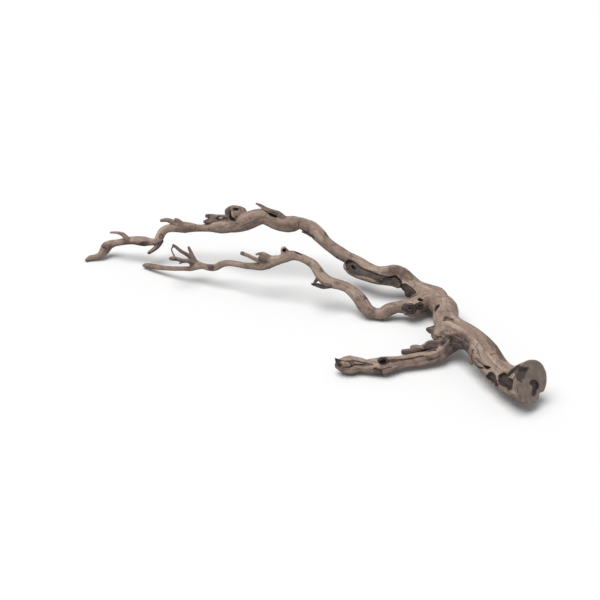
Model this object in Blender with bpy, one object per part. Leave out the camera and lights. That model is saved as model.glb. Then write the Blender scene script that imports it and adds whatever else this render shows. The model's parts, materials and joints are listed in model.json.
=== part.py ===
"""A dried grapevine branch with its old bark blasted off, lying on its knuckles.

A stout sawn trunk arches, drops a side limb to the ground, bends away and splits into two long
wriggling limbs. Every path was followed by eye on the photograph: a path point is its column and
row there, then its real height above the ground and its real radius, both in millimetres.
"""
import math

import bmesh
import bpy
from mathutils import Matrix, Vector
from mathutils.bvhtree import BVHTree

for old in list(bpy.data.objects):
    bpy.data.objects.remove(old, do_unlink=True)

MM = 0.001
SIGHT_TURN = math.radians(32)
SIGHT_TILT = math.radians(30)
SIGHT_LENGTH = 1325
SIGHT_CENTRE = Vector((-19.2, 18.6, 0))
FOCAL_COLUMNS = 1000
MIDDLE_COLUMN = 300
MIDDLE_ROW = 300

SEAM = 0.3
SAW_CUT_FACES = Vector((0.88, -0.26, 0.40)).normalized()

# The trunk from its sawn butt, over the arch and the low bend, then on as the far limb to its tip.
STEM = [
    (531.4, 382, 34, 26), (522, 382, 29, 22.5), (511, 379.8, 26, 16.8), (501.5, 373.5, 26, 14.7),
    (493.5, 365, 27.5, 15.2), (486, 354.5, 30, 16.5), (478, 345, 33, 15), (469, 337, 36, 14),
    (459, 331.5, 35, 14), (450, 326, 30, 15), (446, 318, 23, 16.5), (445.5, 310, 19, 16.6),
    (436.5, 302, 17, 15.3), (427, 295.5, 17, 15.2), (416.5, 290, 19.5, 13.3), (408, 282.5, 24.5, 13),
    (401, 275.5, 31, 12), (394, 272, 35, 10), (386, 271.5, 36, 7.5), (378, 271, 36, 6.5),
    (370, 268, 36, 6.5), (361, 263, 37, 7), (353, 259.5, 40, 7.5), (346.5, 257, 43.5, 8),
    (340, 253, 47.5, 8.5), (333, 248, 52, 8), (326, 242.5, 57, 8), (319.5, 235.5, 63.5, 9.5),
    (312.5, 228.5, 70, 9.5), (306, 225, 73, 8.5), (300, 223, 74, 8), (294, 223.5, 73, 10.5),
    (288, 224, 71, 11), (282, 223.5, 71, 10.5), (276, 222, 73, 10), (270, 219, 76.5, 10),
    (264, 216.5, 79.5, 10.5), (258, 217, 79.5, 11.5), (251, 219.5, 76.5, 12.5), (245, 222, 71, 12.5),
    (238, 225, 64.5, 10.5), (230, 226.5, 60.5, 9), (222, 227, 57, 9.5), (216, 227, 55, 8.5),
    (210, 227.5, 53, 6.5), (203, 228, 52, 5.5), (197, 228, 52, 5.5), (191, 227.5, 52, 7),
    (185, 227.5, 52, 8.5), (179, 227.5, 52, 7.5), (172, 228, 51, 6), (166.5, 229, 49, 6),
    (162.5, 232, 44.5, 6.5), (160, 236.5, 39, 6.5), (158, 240.5, 35, 6), (154, 242, 33, 5),
    (150, 242, 32, 5.5), (145, 241.5, 32, 7), (140, 241, 31, 7), (133, 240.5, 29.5, 6),
    (127, 241, 27.5, 5.5), (121, 242, 25.5, 5), (115.5, 243, 22.5, 5), (110.5, 244.3, 18.5, 6.2),
    (106.5, 247, 15, 7.8), (104, 251, 11, 6.9), (100.5, 255, 7.5, 5.2), (95, 257, 5.5, 4),
    (90, 258, 4.5, 4), (86, 260.5, 2.5, 2.3),
]
CROWN_STARTS = 7
BACK_LIMB_STARTS = 15

# The near limb, from inside the low bend to the mass where it splits.
NEAR = [
    (430, 301, 18, 13), (421, 303.5, 19, 12), (411, 307.4, 19, 11.8), (404, 306.5, 19, 8.8),
    (397, 307, 18, 7.5), (389, 309.5, 14, 8.5), (382, 313.5, 9, 8), (375, 313, 9, 7),
    (368.5, 310.5, 12, 8), (363.5, 305, 17, 9), (360, 299.5, 22.5, 8.5), (354.5, 293.5, 27.5, 7.5),
    (347.5, 288, 32, 6.5), (340, 285, 35, 6.5), (332, 283, 37, 7), (325.5, 280, 40, 7.5),
    (320.5, 275, 44.5, 7), (316.5, 269, 50, 6.5), (312.5, 264, 55, 6), (306, 260, 59.5, 5.5),
    (299, 257, 61.5, 5.5), (292, 255.5, 61.5, 6.5), (286, 257, 59.5, 7), (280, 259.5, 55, 6),
    (273, 261, 51, 7.5), (267, 263, 46.5, 8.5), (261, 266, 42.5, 6), (253, 266, 40.5, 5),
    (245, 265.5, 39, 4.5), (237, 264, 38, 4.3), (229, 263, 37, 4.4), (222, 264, 33, 5),
    (216, 267, 28.5, 5), (210, 267.5, 26.5, 5), (203, 266, 25.5, 4.6), (197, 265, 24.5, 6.5),
    (192.5, 265.5, 22.5, 6),
]
FRONT_LIMB_STARTS = 4

# The thin tail that leaves that mass and ends in a small club on the ground.
TAIL = [
    (199, 266, 24, 4.5), (191, 268.5, 20, 3.7), (184, 268.5, 18, 3.3), (175, 268.5, 15.5, 3.4),
    (165, 268, 12, 3.4), (157, 267, 9.5, 3.9), (150, 266, 7, 4), (145.5, 265.5, 5.3, 3.4),
    (143, 265.5, 4.8, 1.8),
]
FRONT_TAIL_STARTS = 2

# The side limb that drops from the arch to the ground and ends hollow.
SIDE = [
    (460, 338, 27, 11), (452.5, 343.3, 20, 10), (445, 348.8, 16, 9.5), (438, 354.5, 13.5, 8.8),
    (428, 358, 11.5, 8.5), (418, 359.5, 11.5, 8.5), (408, 361, 11, 8), (398, 363, 10.5, 8),
    (390, 364.5, 11, 9.5), (382, 366, 11.5, 10.5), (374, 366, 11, 9), (366, 366, 10.5, 7.5),
    (358, 365, 10.5, 9), (350, 365, 11, 11), (343, 365, 12.5, 9), (338, 364, 14, 6),
]
SIDE_LIMB_STARTS = 4

# The swellings, stumps, curls and dead shoots that are fused on each limb, one short path each.
BUTT_TWIGS = [
    [(476, 350, 30, 4.6), (472, 354.5, 26, 3.5), (471, 360, 21, 3.5), (471.5, 364, 17, 2)],
]
CROWN_TWIGS = [
    [(429, 295, 17, 12.8), (436.5, 295.7, 17, 12.3), (441, 298.5, 17, 10.5)],
    [(416, 288, 20, 8), (410, 291.5, 17.5, 6.6), (408.8, 294.5, 16, 5.2)],
    [(449, 328, 24, 12), (443, 333, 20, 12), (438.5, 336.5, 18, 10.5)],
    [(443, 344.5, 20, 7.5), (437, 345.3, 21, 6.6), (430.5, 345.4, 20, 6.7), (424.5, 347.9, 18, 5.2),
     (417, 349.5, 17, 3.1), (410, 351, 16, 3), (403, 352, 14.5, 2.6)],
    [(423, 348.5, 18.5, 3.2), (415.5, 346.5, 20.5, 2.7), (411, 347, 20.5, 2)],
    [(442, 327.5, 20.5, 6), (432, 330, 21, 5.2), (427.5, 329, 22, 3)],
]
SIDE_TWIGS = [
    [(386, 368, 9, 5.3), (385, 373, 4.5, 3.3), (384.5, 376, 2, 1.3)],
    [(342, 363, 15, 5), (337.5, 361, 18.5, 2.9), (335.5, 358.5, 22, 1.2)],
]
DEAD_LIMB = [
    (399, 282.5, 25, 8), (392, 281, 26.5, 7), (384, 280, 27.5, 7), (376, 278.5, 28, 7.5),
    (367, 275, 28.5, 8.5), (358, 271, 29.5, 9.5), (351, 267, 32, 9.5), (346.5, 265.5, 34, 6.5),
]
BACK_TWIGS = [
    [(284, 218, 80, 4), (278, 214, 85, 4.6), (272, 212, 88.5, 4.2), (266, 209, 92, 3.1),
     (260.5, 205.5, 95, 2.3), (256, 203.5, 97, 1.3)],
    [(316, 236, 58, 4), (311.5, 235, 61, 3.3), (307, 233, 64.5, 2.5), (302.5, 231.5, 66, 1.9)],
    [(243, 219, 75, 5.5), (243, 211.5, 85, 4.8), (238, 209, 88, 4.5), (232, 208.5, 88, 4.2),
     (227.5, 211.5, 84, 3.9), (229.5, 216.5, 76, 3.8), (231.5, 221, 69, 4)],
    [(246, 217.5, 75, 6.4), (240, 215.5, 77.5, 6.3), (234.5, 215, 78, 5.6), (230.5, 214.5, 78.5, 3.6)],
    [(231, 215.5, 77, 3.4), (225, 216, 74, 2.6), (218, 216, 72, 2.3), (211, 215.5, 70.5, 2.6),
     (206.5, 215.5, 69.5, 2.3)],
    [(219, 216, 72, 2.2), (215, 217, 69.5, 2.6), (211.5, 219, 66, 3), (208, 220.5, 63, 2.9),
     (204.5, 222, 61, 2.2)],
    [(233, 219.5, 70, 4.2), (227, 219.5, 68, 3.4), (221, 220, 65.5, 2.8), (214.5, 219.5, 65.5, 3)],
    [(178, 225, 56, 5.6), (171.5, 221.5, 60, 3.9), (166.5, 220, 61.5, 3.1), (161, 220.5, 60, 2.5)],
    [(182, 224.5, 57, 4.9), (177, 220, 63.5, 3.2), (175, 219, 65, 1.9)],
    [(160.5, 240.5, 35, 4.9), (157.5, 246, 28, 3.8), (153, 250, 23, 3.1), (148.5, 253, 19, 2.5)],
    [(130, 240.5, 29.5, 4.2), (126, 237.5, 35, 3.9), (123, 234.5, 39, 3.5), (119, 233, 42, 2.5),
     (115, 232.5, 42.5, 2.1), (110.5, 232.5, 42, 1.7)],
]
FRONT_TWIGS = [
    [(266, 263.5, 46.5, 4.3), (260, 261, 51, 3.3), (254, 258.5, 55, 3), (248, 255.5, 59, 2.9),
     (241.5, 253, 62, 2.9)],
    [(271, 259.5, 53, 5.2), (264.5, 255, 59, 3.9), (260.5, 253.5, 60.5, 2.6), (256, 254.5, 60, 1.6)],
    [(288, 256, 60.5, 5.9), (284.5, 251, 67, 5.4), (283.5, 248, 71, 3.6)],
    [(330, 285, 36, 4.5), (323, 286.5, 36, 3.6), (317, 285, 39, 3), (311.5, 284, 41, 1.5)],
    [(321, 275.5, 42, 3.6), (317, 279.3, 40.5, 2.5), (314.3, 283.3, 40, 2)],
    [(194.5, 262, 29, 4.8), (192.5, 257, 35, 3.4), (190.5, 251.5, 42, 2.4), (188.5, 247, 48, 1.9)],
    [(193, 259.5, 32, 3.7), (187, 254.5, 40, 2.8), (181.5, 251.5, 46, 2.7), (176.5, 247.5, 52, 2.4),
     (173, 245, 56, 2)],
    [(173.5, 246, 55, 1.4), (171.5, 249, 52, 1.2), (172.5, 252.5, 48, 1.2), (175, 257.5, 43, 1.5)],
    [(194.5, 263, 27, 4.3), (188, 261, 33.5, 3.4), (182, 260.5, 36.5, 3.1), (177, 259, 41, 2.9),
     (173, 258.5, 42.5, 3.3), (170, 258.5, 43.5, 2.5)],
    [(184, 261, 35, 2.3), (179.5, 263.5, 33, 1.2)],
]


# Knot holes, pockets and grooves: column and row of the middle, the direction the long way runs in
# the photograph, then length, width and depth in millimetres.
BUTT_PITS = [
    (491, 378.5, (0.6, 1), 14, 7, 3.5), (505, 381, (0.3, 1), 17, 11, 4), (485.5, 367, (1, 0.2), 9, 3, 3),
    (520.5, 373.5, (1, -0.6), 15, 11, 2.5), (535, 387.5, (0.1, 1), 16, 7, 2),
    (543.5, 392, (0.7, -1), 12, 8, 6),
]
BUTT_LUMPS = [
    (506, 391.5, (1, 0.4), 9, 6, 5),
]
CROWN_PITS = [
    (410, 291, (0.6, 1), 15, 8, 4), (420, 299.5, (1, -0.2), 6, 3.5, 4), (437, 307.5, (0.4, -1), 8, 4, 4),
    (408.5, 308.5, (1, 0.1), 9, 7, 5), (419, 305.5, (1, -0.5), 9, 5, 4),
    (456, 341.5, (1, -0.2), 26, 14, 4),
]
CROWN_LUMPS = [
    (408.5, 308.5, (1, 0.1), 17, 14, 3), (419, 305.5, (1, -0.5), 15, 10, 2),
]
SIDE_PITS = [
    (383.5, 360.5, (1, 0), 11, 7, 6), (409, 357.5, (1, -0.08), 36, 3.5, 2.5),
    (361, 361.5, (1, 0), 24, 3.5, 2.5), (341.5, 363, (0.3, 1), 8, 5, 3),
]
BACK_PITS = [
    (350.5, 267.5, (1, 0.5), 12, 6, 6), (379, 277.5, (1, 0.22), 50, 6, 4), (271, 214.5, (1, 0.5), 13, 3, 3),
    (235.5, 209.5, (1, 0), 6, 4, 4), (233, 217.5, (0.4, 1), 7, 5, 4), (161, 236.5, (0.3, 1), 5, 3.5, 2),
]
FRONT_PITS = [
    (284.5, 249.5, (1, 0), 5, 4.5, 4), (319, 285, (1, 0.15), 10, 2.5, 1.5),
]


def sight_directions():
    """Right, up and forward of the photograph's line of sight."""
    right = Vector((math.cos(SIGHT_TURN), math.sin(SIGHT_TURN), 0))
    level = Vector((-math.sin(SIGHT_TURN), math.cos(SIGHT_TURN), 0))
    forward = level * math.cos(SIGHT_TILT) - Vector((0, 0, math.sin(SIGHT_TILT)))
    return right, right.cross(forward), forward


RIGHT, UP, FORWARD = sight_directions()
EYE = SIGHT_CENTRE - FORWARD * SIGHT_LENGTH


def sight_line(column, row):
    """Direction from the eye through a point of the photograph."""
    across = (column - MIDDLE_COLUMN) / FOCAL_COLUMNS
    down = (row - MIDDLE_ROW) / FOCAL_COLUMNS
    return FORWARD + RIGHT * across - UP * down


def sight_point(column, row, height):
    """The place seen at a point of the photograph, at a height above the ground."""
    line = sight_line(column, row)
    return EYE + line * ((height - EYE.z) / line.z)


def followed(points, step):
    """A smooth run of places and radii through the path points, and where each point falls in it."""
    places = [(sight_point(*point[:3]), point[3]) for point in points]
    run = []
    marks = []
    last = len(places) - 1
    for index in range(last):
        before, start, end, after = (places[min(max(index + k, 0), last)] for k in (-1, 0, 1, 2))
        marks.append(len(run))
        pieces = max(1, round((end[0] - start[0]).length / step))
        for piece in range(pieces):
            t = piece / pieces
            weights = (
                (-t + 2 * t ** 2 - t ** 3) / 2,
                (2 - 5 * t ** 2 + 3 * t ** 3) / 2,
                (t + 4 * t ** 2 - 3 * t ** 3) / 2,
                (t ** 3 - t ** 2) / 2,
            )
            four = (before, start, end, after)
            place = sum((w * p[0] for w, p in zip(weights, four)), Vector())
            radius = start[1] + (end[1] - start[1]) * t
            run.append((place, radius))
    marks.append(len(run))
    run.append(places[-1])
    return run, marks


def rings_along(run, sides, ribbing):
    """One ring of places round each place of a run, turned as little as possible from ring to ring."""
    rings = []
    heading = (run[1][0] - run[0][0]).normalized()
    side = heading.cross(Vector((0, 0, 1))).normalized()
    travelled = 0
    for index, (place, radius) in enumerate(run):
        back = run[max(index - 1, 0)][0]
        ahead = run[min(index + 1, len(run) - 1)][0]
        new_heading = (ahead - back).normalized()
        side = heading.rotation_difference(new_heading) @ side
        heading = new_heading
        travelled += (place - back).length
        other = heading.cross(side)
        ring = []
        for corner in range(sides):
            angle = math.tau * corner / sides
            twist = travelled / 60
            swell = 1 + ribbing * math.cos(2 * angle + twist) + ribbing * 0.8 * math.cos(3 * angle - twist)
            ring.append(place + (side * math.cos(angle) + other * math.sin(angle)) * radius * swell)
        rings.append((place, heading, ring))
    return rings


def slid(ring, distance):
    """A ring moved along its own heading."""
    place, heading, corners = ring
    shift = heading * distance
    return place + shift, heading, [corner + shift for corner in corners]


def sawn(ring):
    """The end ring cut square to the saw cut instead of to the wood."""
    place, heading, corners = ring
    lean = heading.dot(SAW_CUT_FACES)
    cut = [c + heading * ((place - c).dot(SAW_CUT_FACES) / lean) for c in corners]
    return place, heading, cut


def skin(name, rings, blunt_start=True, blunt_end=True):
    """A closed solid over a row of rings, with flat ends or low rounded ones."""
    mesh = bpy.data.meshes.new(name)
    bm = bmesh.new()
    rows = [[bm.verts.new(corner * MM) for corner in ring[2]] for ring in rings]
    sides = len(rows[0])
    for near, far in zip(rows, rows[1:]):
        for k in range(sides):
            n = (k + 1) % sides
            bm.faces.new((near[k], near[n], far[n], far[k]))
    for row, ring, blunt, sign in ((rows[0], rings[0], blunt_start, -1), (rows[-1], rings[-1], blunt_end, 1)):
        if blunt:
            bm.faces.new(row)
            continue
        girth = sum((corner - ring[0]).length for corner in ring[2]) / sides
        tip = bm.verts.new((ring[0] + ring[1] * sign * girth * 0.6) * MM)
        for k in range(sides):
            bm.faces.new((row[k], row[(k + 1) % sides], tip))
    bmesh.ops.recalc_face_normals(bm, faces=bm.faces)
    bm.to_mesh(mesh)
    bm.free()
    solid = bpy.data.objects.new(name, mesh)
    bpy.context.scene.collection.objects.link(solid)
    return solid


def combine(solid, other, operation):
    """Join the other solid to this one, or cut it out, and drop the other."""
    change = solid.modifiers.new("combine", "BOOLEAN")
    change.operation = operation
    change.solver = "EXACT"
    change.object = other
    bpy.context.view_layer.update()
    graph = bpy.context.evaluated_depsgraph_get()
    mesh = bpy.data.meshes.new_from_object(solid.evaluated_get(graph))
    solid.modifiers.remove(change)
    solid.data = mesh
    bpy.data.objects.remove(other, do_unlink=True)
    return solid


def twig(points, sides=7):
    """A small branch with a rounded tip."""
    run, _ = followed(points, 6)
    return skin("twig", rings_along(run, sides, 0.04), blunt_end=False)


def grown(name, body, twigs):
    """A limb's body with its twigs fused on."""
    for points in twigs:
        combine(body, twig(points), "UNION")
    body.name = name
    return body


def ellipsoid(centre, outward, along, sizes):
    """A low-sided egg with its long way along the grain."""
    mesh = bpy.data.meshes.new("egg")
    bm = bmesh.new()
    bmesh.ops.create_icosphere(bm, subdivisions=2, radius=1)
    across = outward.cross(along).normalized()
    turn = Matrix((along, across, outward)).transposed().to_4x4()
    scale = Matrix.Diagonal((*[size * MM for size in sizes], 1))
    bm.transform(Matrix.Translation(centre) @ turn @ scale)
    bm.to_mesh(mesh)
    bm.free()
    egg = bpy.data.objects.new("egg", mesh)
    bpy.context.scene.collection.objects.link(egg)
    return egg


def seen_on(solid, column, row):
    """Where the line of sight meets a solid, and which way its surface faces there."""
    bm = bmesh.new()
    bm.from_mesh(solid.data)
    tree = BVHTree.FromBMesh(bm)
    bm.free()
    place, facing, _, _ = tree.ray_cast(EYE * MM, sight_line(column, row).normalized())
    if place is None:
        raise ValueError(f"nothing is seen at {column}, {row}")
    return place, facing


def egg_on(solid, column, row, run, length, width, depth):
    """An egg set into the surface seen at a point, long way along a direction of the photograph."""
    place, facing = seen_on(solid, column, row)
    direction = RIGHT * run[0] - UP * run[1]
    along = (direction - facing * direction.dot(facing)).normalized()
    return ellipsoid(place, facing, along, (length / 2, width / 2, depth))


def pit(solid, column, row, run, length, width, depth):
    """A hollow in the surface seen at a point of the photograph."""
    return combine(solid, egg_on(solid, column, row, run, length, width, depth), "DIFFERENCE")


def lump(solid, column, row, run, length, width, height):
    """A swelling on the surface seen at a point of the photograph."""
    return combine(solid, egg_on(solid, column, row, run, length, width, height), "UNION")


def finish(solid, colour, lumps=(), pits=()):
    """Raise the lumps, cut the pits, shade the wood smooth but for its arrises and colour it."""
    for feature in lumps:
        lump(solid, *feature)
    for feature in pits:
        pit(solid, *feature)
    bm = bmesh.new()
    bm.from_mesh(solid.data)
    bmesh.ops.remove_doubles(bm, verts=bm.verts, dist=0.02 * MM)
    bmesh.ops.triangulate(bm, faces=bm.faces)
    bm.to_mesh(solid.data)
    bm.free()
    solid.data.shade_smooth()
    solid.data.set_sharp_from_angle(angle=math.radians(50))
    material = bpy.data.materials.new(solid.name)
    material.use_nodes = True
    shader = material.node_tree.nodes["Principled BSDF"]
    shader.inputs["Base Color"].default_value = (*colour, 1)
    shader.inputs["Roughness"].default_value = 0.8
    solid.data.materials.clear()
    solid.data.materials.append(material)


stem_run, stem_marks = followed(STEM, 9)
stem = rings_along(stem_run, 12, 0.035)
stem[0] = sawn(stem[0])
crown_ring = stem_marks[CROWN_STARTS]
back_ring = stem_marks[BACK_LIMB_STARTS]

near_run, near_marks = followed(NEAR, 8)
near = rings_along(near_run, 10, 0.035)
front_ring = near_marks[FRONT_LIMB_STARTS]

tail_run, tail_marks = followed(TAIL, 7)
tail = rings_along(tail_run, 8, 0.03)
tail_ring = tail_marks[FRONT_TAIL_STARTS]

side_run, side_marks = followed(SIDE, 9)
side = rings_along(side_run, 12, 0.04)
side_ring = side_marks[SIDE_LIMB_STARTS]

# The butt: the sawn trunk as far as the arch.
butt = skin("butt", stem[:crown_ring] + [slid(stem[crown_ring], -SEAM / 2)])
grown("trunk_butt", butt, BUTT_TWIGS)

# The crown: the arch and low bend of the trunk, with the collars of the side and near limbs.
crown = skin("crown", [slid(stem[crown_ring], SEAM / 2)] + stem[crown_ring + 1:back_ring]
             + [slid(stem[back_ring], -SEAM / 2)])
combine(crown, skin("collar", side[:side_ring] + [slid(side[side_ring], -SEAM / 2)]), "UNION")
combine(crown, skin("collar", near[:front_ring] + [slid(near[front_ring], -SEAM / 2)]), "UNION")
grown("trunk_crown", crown, CROWN_TWIGS)

# The side limb, down to its hollow end.
side_limb = skin("side", [slid(side[side_ring], SEAM / 2)] + side[side_ring + 1:], blunt_end=False)
grown("side_limb", side_limb, SIDE_TWIGS)

# The far limb, with the dead limb fused under its start and the twigs along its top.
back_limb = skin("back", [slid(stem[back_ring], SEAM / 2)] + stem[back_ring + 1:], blunt_end=False)
combine(back_limb, twig(DEAD_LIMB, 9), "UNION")
grown("back_limb", back_limb, BACK_TWIGS)

# The near limb, with the collar of its thin tail and the cluster of dead fingers.
front_limb = skin("front", [slid(near[front_ring], SEAM / 2)] + near[front_ring + 1:], blunt_end=False)
combine(front_limb, skin("collar", tail[:tail_ring] + [slid(tail[tail_ring], -SEAM / 2)]), "UNION")
grown("front_limb", front_limb, FRONT_TWIGS)

front_tail = skin("front_tail", [slid(tail[tail_ring], SEAM / 2)] + tail[tail_ring + 1:], blunt_end=False)

finish(butt, (0.36, 0.27, 0.21), BUTT_LUMPS, BUTT_PITS)
finish(crown, (0.34, 0.25, 0.19), CROWN_LUMPS, CROWN_PITS)
finish(side_limb, (0.38, 0.29, 0.23), pits=SIDE_PITS)
finish(back_limb, (0.33, 0.25, 0.20), pits=BACK_PITS)
finish(front_limb, (0.37, 0.28, 0.22), pits=FRONT_PITS)
finish(front_tail, (0.35, 0.27, 0.21))
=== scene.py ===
"""The grapevine branch as it is photographed: blasted pale wood with old bark left in its hollows.

The limbs are grown as one body along paths followed on the photograph, then given their
knots, pockets, cracks and grain, and parted at the same forks as the solids.
"""

import json
import math

import bmesh
import bpy
import numpy as np
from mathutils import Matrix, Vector
from mathutils.bvhtree import BVHTree

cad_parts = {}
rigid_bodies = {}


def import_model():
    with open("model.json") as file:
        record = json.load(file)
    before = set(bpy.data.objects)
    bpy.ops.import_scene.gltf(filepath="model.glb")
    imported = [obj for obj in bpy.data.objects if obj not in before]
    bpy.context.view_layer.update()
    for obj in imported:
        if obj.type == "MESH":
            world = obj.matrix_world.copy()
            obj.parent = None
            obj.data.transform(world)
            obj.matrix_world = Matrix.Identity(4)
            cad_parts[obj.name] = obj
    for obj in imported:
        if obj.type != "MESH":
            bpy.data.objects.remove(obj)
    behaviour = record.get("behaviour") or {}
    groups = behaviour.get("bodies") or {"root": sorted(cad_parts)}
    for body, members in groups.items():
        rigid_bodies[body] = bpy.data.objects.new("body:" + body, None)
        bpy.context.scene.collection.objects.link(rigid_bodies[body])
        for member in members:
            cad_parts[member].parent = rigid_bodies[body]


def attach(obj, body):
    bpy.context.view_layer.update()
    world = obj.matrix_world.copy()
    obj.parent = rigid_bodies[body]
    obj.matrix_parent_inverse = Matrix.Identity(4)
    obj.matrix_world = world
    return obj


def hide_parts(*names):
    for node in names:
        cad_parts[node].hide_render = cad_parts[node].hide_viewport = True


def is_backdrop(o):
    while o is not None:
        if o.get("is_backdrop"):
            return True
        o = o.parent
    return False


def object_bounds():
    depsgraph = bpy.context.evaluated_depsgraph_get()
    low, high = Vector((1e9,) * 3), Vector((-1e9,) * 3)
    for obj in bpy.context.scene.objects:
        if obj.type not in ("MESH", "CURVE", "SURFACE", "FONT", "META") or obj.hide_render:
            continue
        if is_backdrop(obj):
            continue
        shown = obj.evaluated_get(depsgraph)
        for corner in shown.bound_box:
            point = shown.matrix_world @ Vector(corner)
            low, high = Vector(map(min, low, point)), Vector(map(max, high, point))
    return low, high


for thing in list(bpy.data.objects):
    bpy.data.objects.remove(thing)
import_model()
cad_low, cad_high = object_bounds()

# The place the photograph was taken from.
# A path point is its column and row there, then its height and radius in millimetres, so this
# comes before the wood.
SIGHT_TURN = math.radians(32)
SIGHT_TILT = math.radians(30)
SIGHT_LENGTH = 1325
SIGHT_CENTRE = np.array((-19.2, 18.6, 0))
FOCAL_COLUMNS = 1000
PICTURE_COLUMNS = 600
MIDDLE = 300

RIGHT = np.array((math.cos(SIGHT_TURN), math.sin(SIGHT_TURN), 0))
LEVEL = np.array((-math.sin(SIGHT_TURN), math.cos(SIGHT_TURN), 0))
FORWARD = LEVEL * math.cos(SIGHT_TILT) - np.array((0, 0, math.sin(SIGHT_TILT)))
UP = np.cross(RIGHT, FORWARD)
EYE = SIGHT_CENTRE - FORWARD * SIGHT_LENGTH


def add_object(name, data):
    """Put a mesh, a lamp or a camera into the scene."""
    thing = bpy.data.objects.new(name, data)
    bpy.context.scene.collection.objects.link(thing)
    return thing


lens = bpy.data.cameras.new("camera")
lens.sensor_width = 36
lens.lens = FOCAL_COLUMNS * lens.sensor_width / PICTURE_COLUMNS
camera = add_object("camera", lens)
camera.location = Vector(EYE / 1000)
camera.rotation_mode = "QUATERNION"
camera.rotation_quaternion = Vector(FORWARD).to_track_quat("-Z", "Y")
bpy.context.scene.camera = camera


def sight_line(column, row):
    """Direction from the eye through a point of the photograph."""
    return FORWARD + RIGHT * (column - MIDDLE) / FOCAL_COLUMNS - UP * (row - MIDDLE) / FOCAL_COLUMNS


def sight_point(column, row, height):
    """The place seen at a point of the photograph, at a height above the ground."""
    line = sight_line(column, row)
    return EYE + line * ((height - EYE[2]) / line[2])


# The stem: trunk and far limb in one run of wood.
# From the sawn butt it arches, rests on its low bend, then runs on as the long far limb to its tip.
# Everything else grows out of it, so the ways of growing wood are here too.
STEM = [
    (531.4, 382, 34, 26), (522, 382, 29, 22.5), (511, 379.8, 26, 16.8), (501.5, 373.5, 26, 14.7),
    (493.5, 365, 27.5, 15.2), (486, 354.5, 30, 16.5), (478, 345, 33, 15), (469, 337, 36, 14),
    (459, 331.5, 35, 14), (450, 326, 30, 15), (446, 318, 23, 16.5), (445.5, 310, 19, 16.6),
    (436.5, 302, 17, 15.3), (427, 295.5, 17, 15.2), (416.5, 290, 19.5, 13.3), (408, 282.5, 24.5, 13),
    (401, 275.5, 31, 12), (394, 272, 35, 10), (386, 271.5, 36, 7.5), (378, 271, 36, 6.5),
    (370, 268, 36, 6.5), (361, 263, 37, 7), (353, 259.5, 40, 7.5), (346.5, 257, 43.5, 8),
    (340, 253, 47.5, 8.5), (333, 248, 52, 8), (326, 242.5, 57, 8), (319.5, 235.5, 63.5, 9.5),
    (312.5, 228.5, 70, 9.5), (306, 225, 73, 8.5), (300, 223, 74, 8), (294, 223.5, 73, 10.5),
    (288, 224, 71, 11), (282, 223.5, 71, 10.5), (276, 222, 73, 10), (270, 219, 76.5, 10),
    (264, 216.5, 79.5, 10.5), (258, 217, 79.5, 11.5), (251, 219.5, 76.5, 12.5), (245, 222, 71, 12.5),
    (238, 225, 64.5, 10.5), (230, 226.5, 60.5, 9), (222, 227, 57, 9.5), (216, 227, 55, 8.5),
    (210, 227.5, 53, 6.5), (203, 228, 52, 5.5), (197, 228, 52, 5.5), (191, 227.5, 52, 7),
    (185, 227.5, 52, 8.5), (179, 227.5, 52, 7.5), (172, 228, 51, 6), (166.5, 229, 49, 6),
    (162.5, 232, 44.5, 6.5), (160, 236.5, 39, 6.5), (158, 240.5, 35, 6), (154, 242, 33, 5),
    (150, 242, 32, 5.5), (145, 241.5, 32, 7), (140, 241, 31, 7), (133, 240.5, 29.5, 6),
    (127, 241, 27.5, 5.5), (121, 242, 25.5, 5), (115.5, 243, 22.5, 5), (110.5, 244.3, 18.5, 6.2),
    (106.5, 247, 15, 7.8), (104, 251, 11, 6.9), (100.5, 255, 7.5, 5.2), (95, 257, 5.5, 4),
    (90, 258, 4.5, 4), (86, 260.5, 2.5, 2.3),
]
CROWN_STARTS = 7
BACK_LIMB_STARTS = 15
SAW_CUT_FACES = np.array((0.88, -0.26, 0.40)) / np.linalg.norm((0.88, -0.26, 0.40))
BLASTED_AWAY = 0.25

limbs = []


def curve_between(before, start, end, after, t):
    """The point a share t of the way from start to end, on a smooth curve through all four."""
    return (before * (-t + 2 * t ** 2 - t ** 3) + start * (2 - 5 * t ** 2 + 3 * t ** 3)
            + end * (t + 4 * t ** 2 - 3 * t ** 3) + after * (t ** 3 - t ** 2)) / 2


def follow(points, step):
    """Places and radii on a smooth run through path points, and where each point falls in it."""
    places = np.array([(*sight_point(*point[:3]), point[3]) for point in points])
    last = len(places) - 1
    run = []
    marks = []
    for index in range(last):
        before, start, end, after = places[np.clip([index - 1, index, index + 1, index + 2], 0, last)]
        marks.append(len(run))
        pieces = max(1, round(np.linalg.norm(end[:3] - start[:3]) / step))
        for t in np.arange(pieces) / pieces:
            spot = curve_between(before, start, end, after, t)
            spot[3] = start[3] + (end[3] - start[3]) * t
            run.append(spot)
    marks.append(len(run))
    run.append(places[last])
    return np.array(run), marks


def grow(node, points, old_bark=0.0, ribbing=0.04, collar=1.5, step=2.5):
    """Lay a limb: its middles, headings and sides, ready to be skinned and measured from."""
    run, marks = follow(points, step)
    middles = run[:, :3]
    headings = np.gradient(middles, axis=0)
    headings /= np.linalg.norm(headings, axis=1)[:, None]
    side = np.cross(headings[0], (0, 0, 1))
    sides = []
    for heading in headings:
        side = side - heading * (side @ heading)
        side /= np.linalg.norm(side)
        sides.append(side)
    strides = np.linalg.norm(np.diff(middles, axis=0), axis=1)
    limb = {
        "node": node, "middles": middles, "headings": headings, "sides": np.array(sides),
        "others": np.cross(headings, sides), "radii": run[:, 3] - BLASTED_AWAY,
        "along": np.concatenate(((0,), np.cumsum(strides))), "marks": marks,
        "old_bark": old_bark, "ribbing": ribbing, "collar": collar,
    }
    limbs.append(limb)
    return limb


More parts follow.
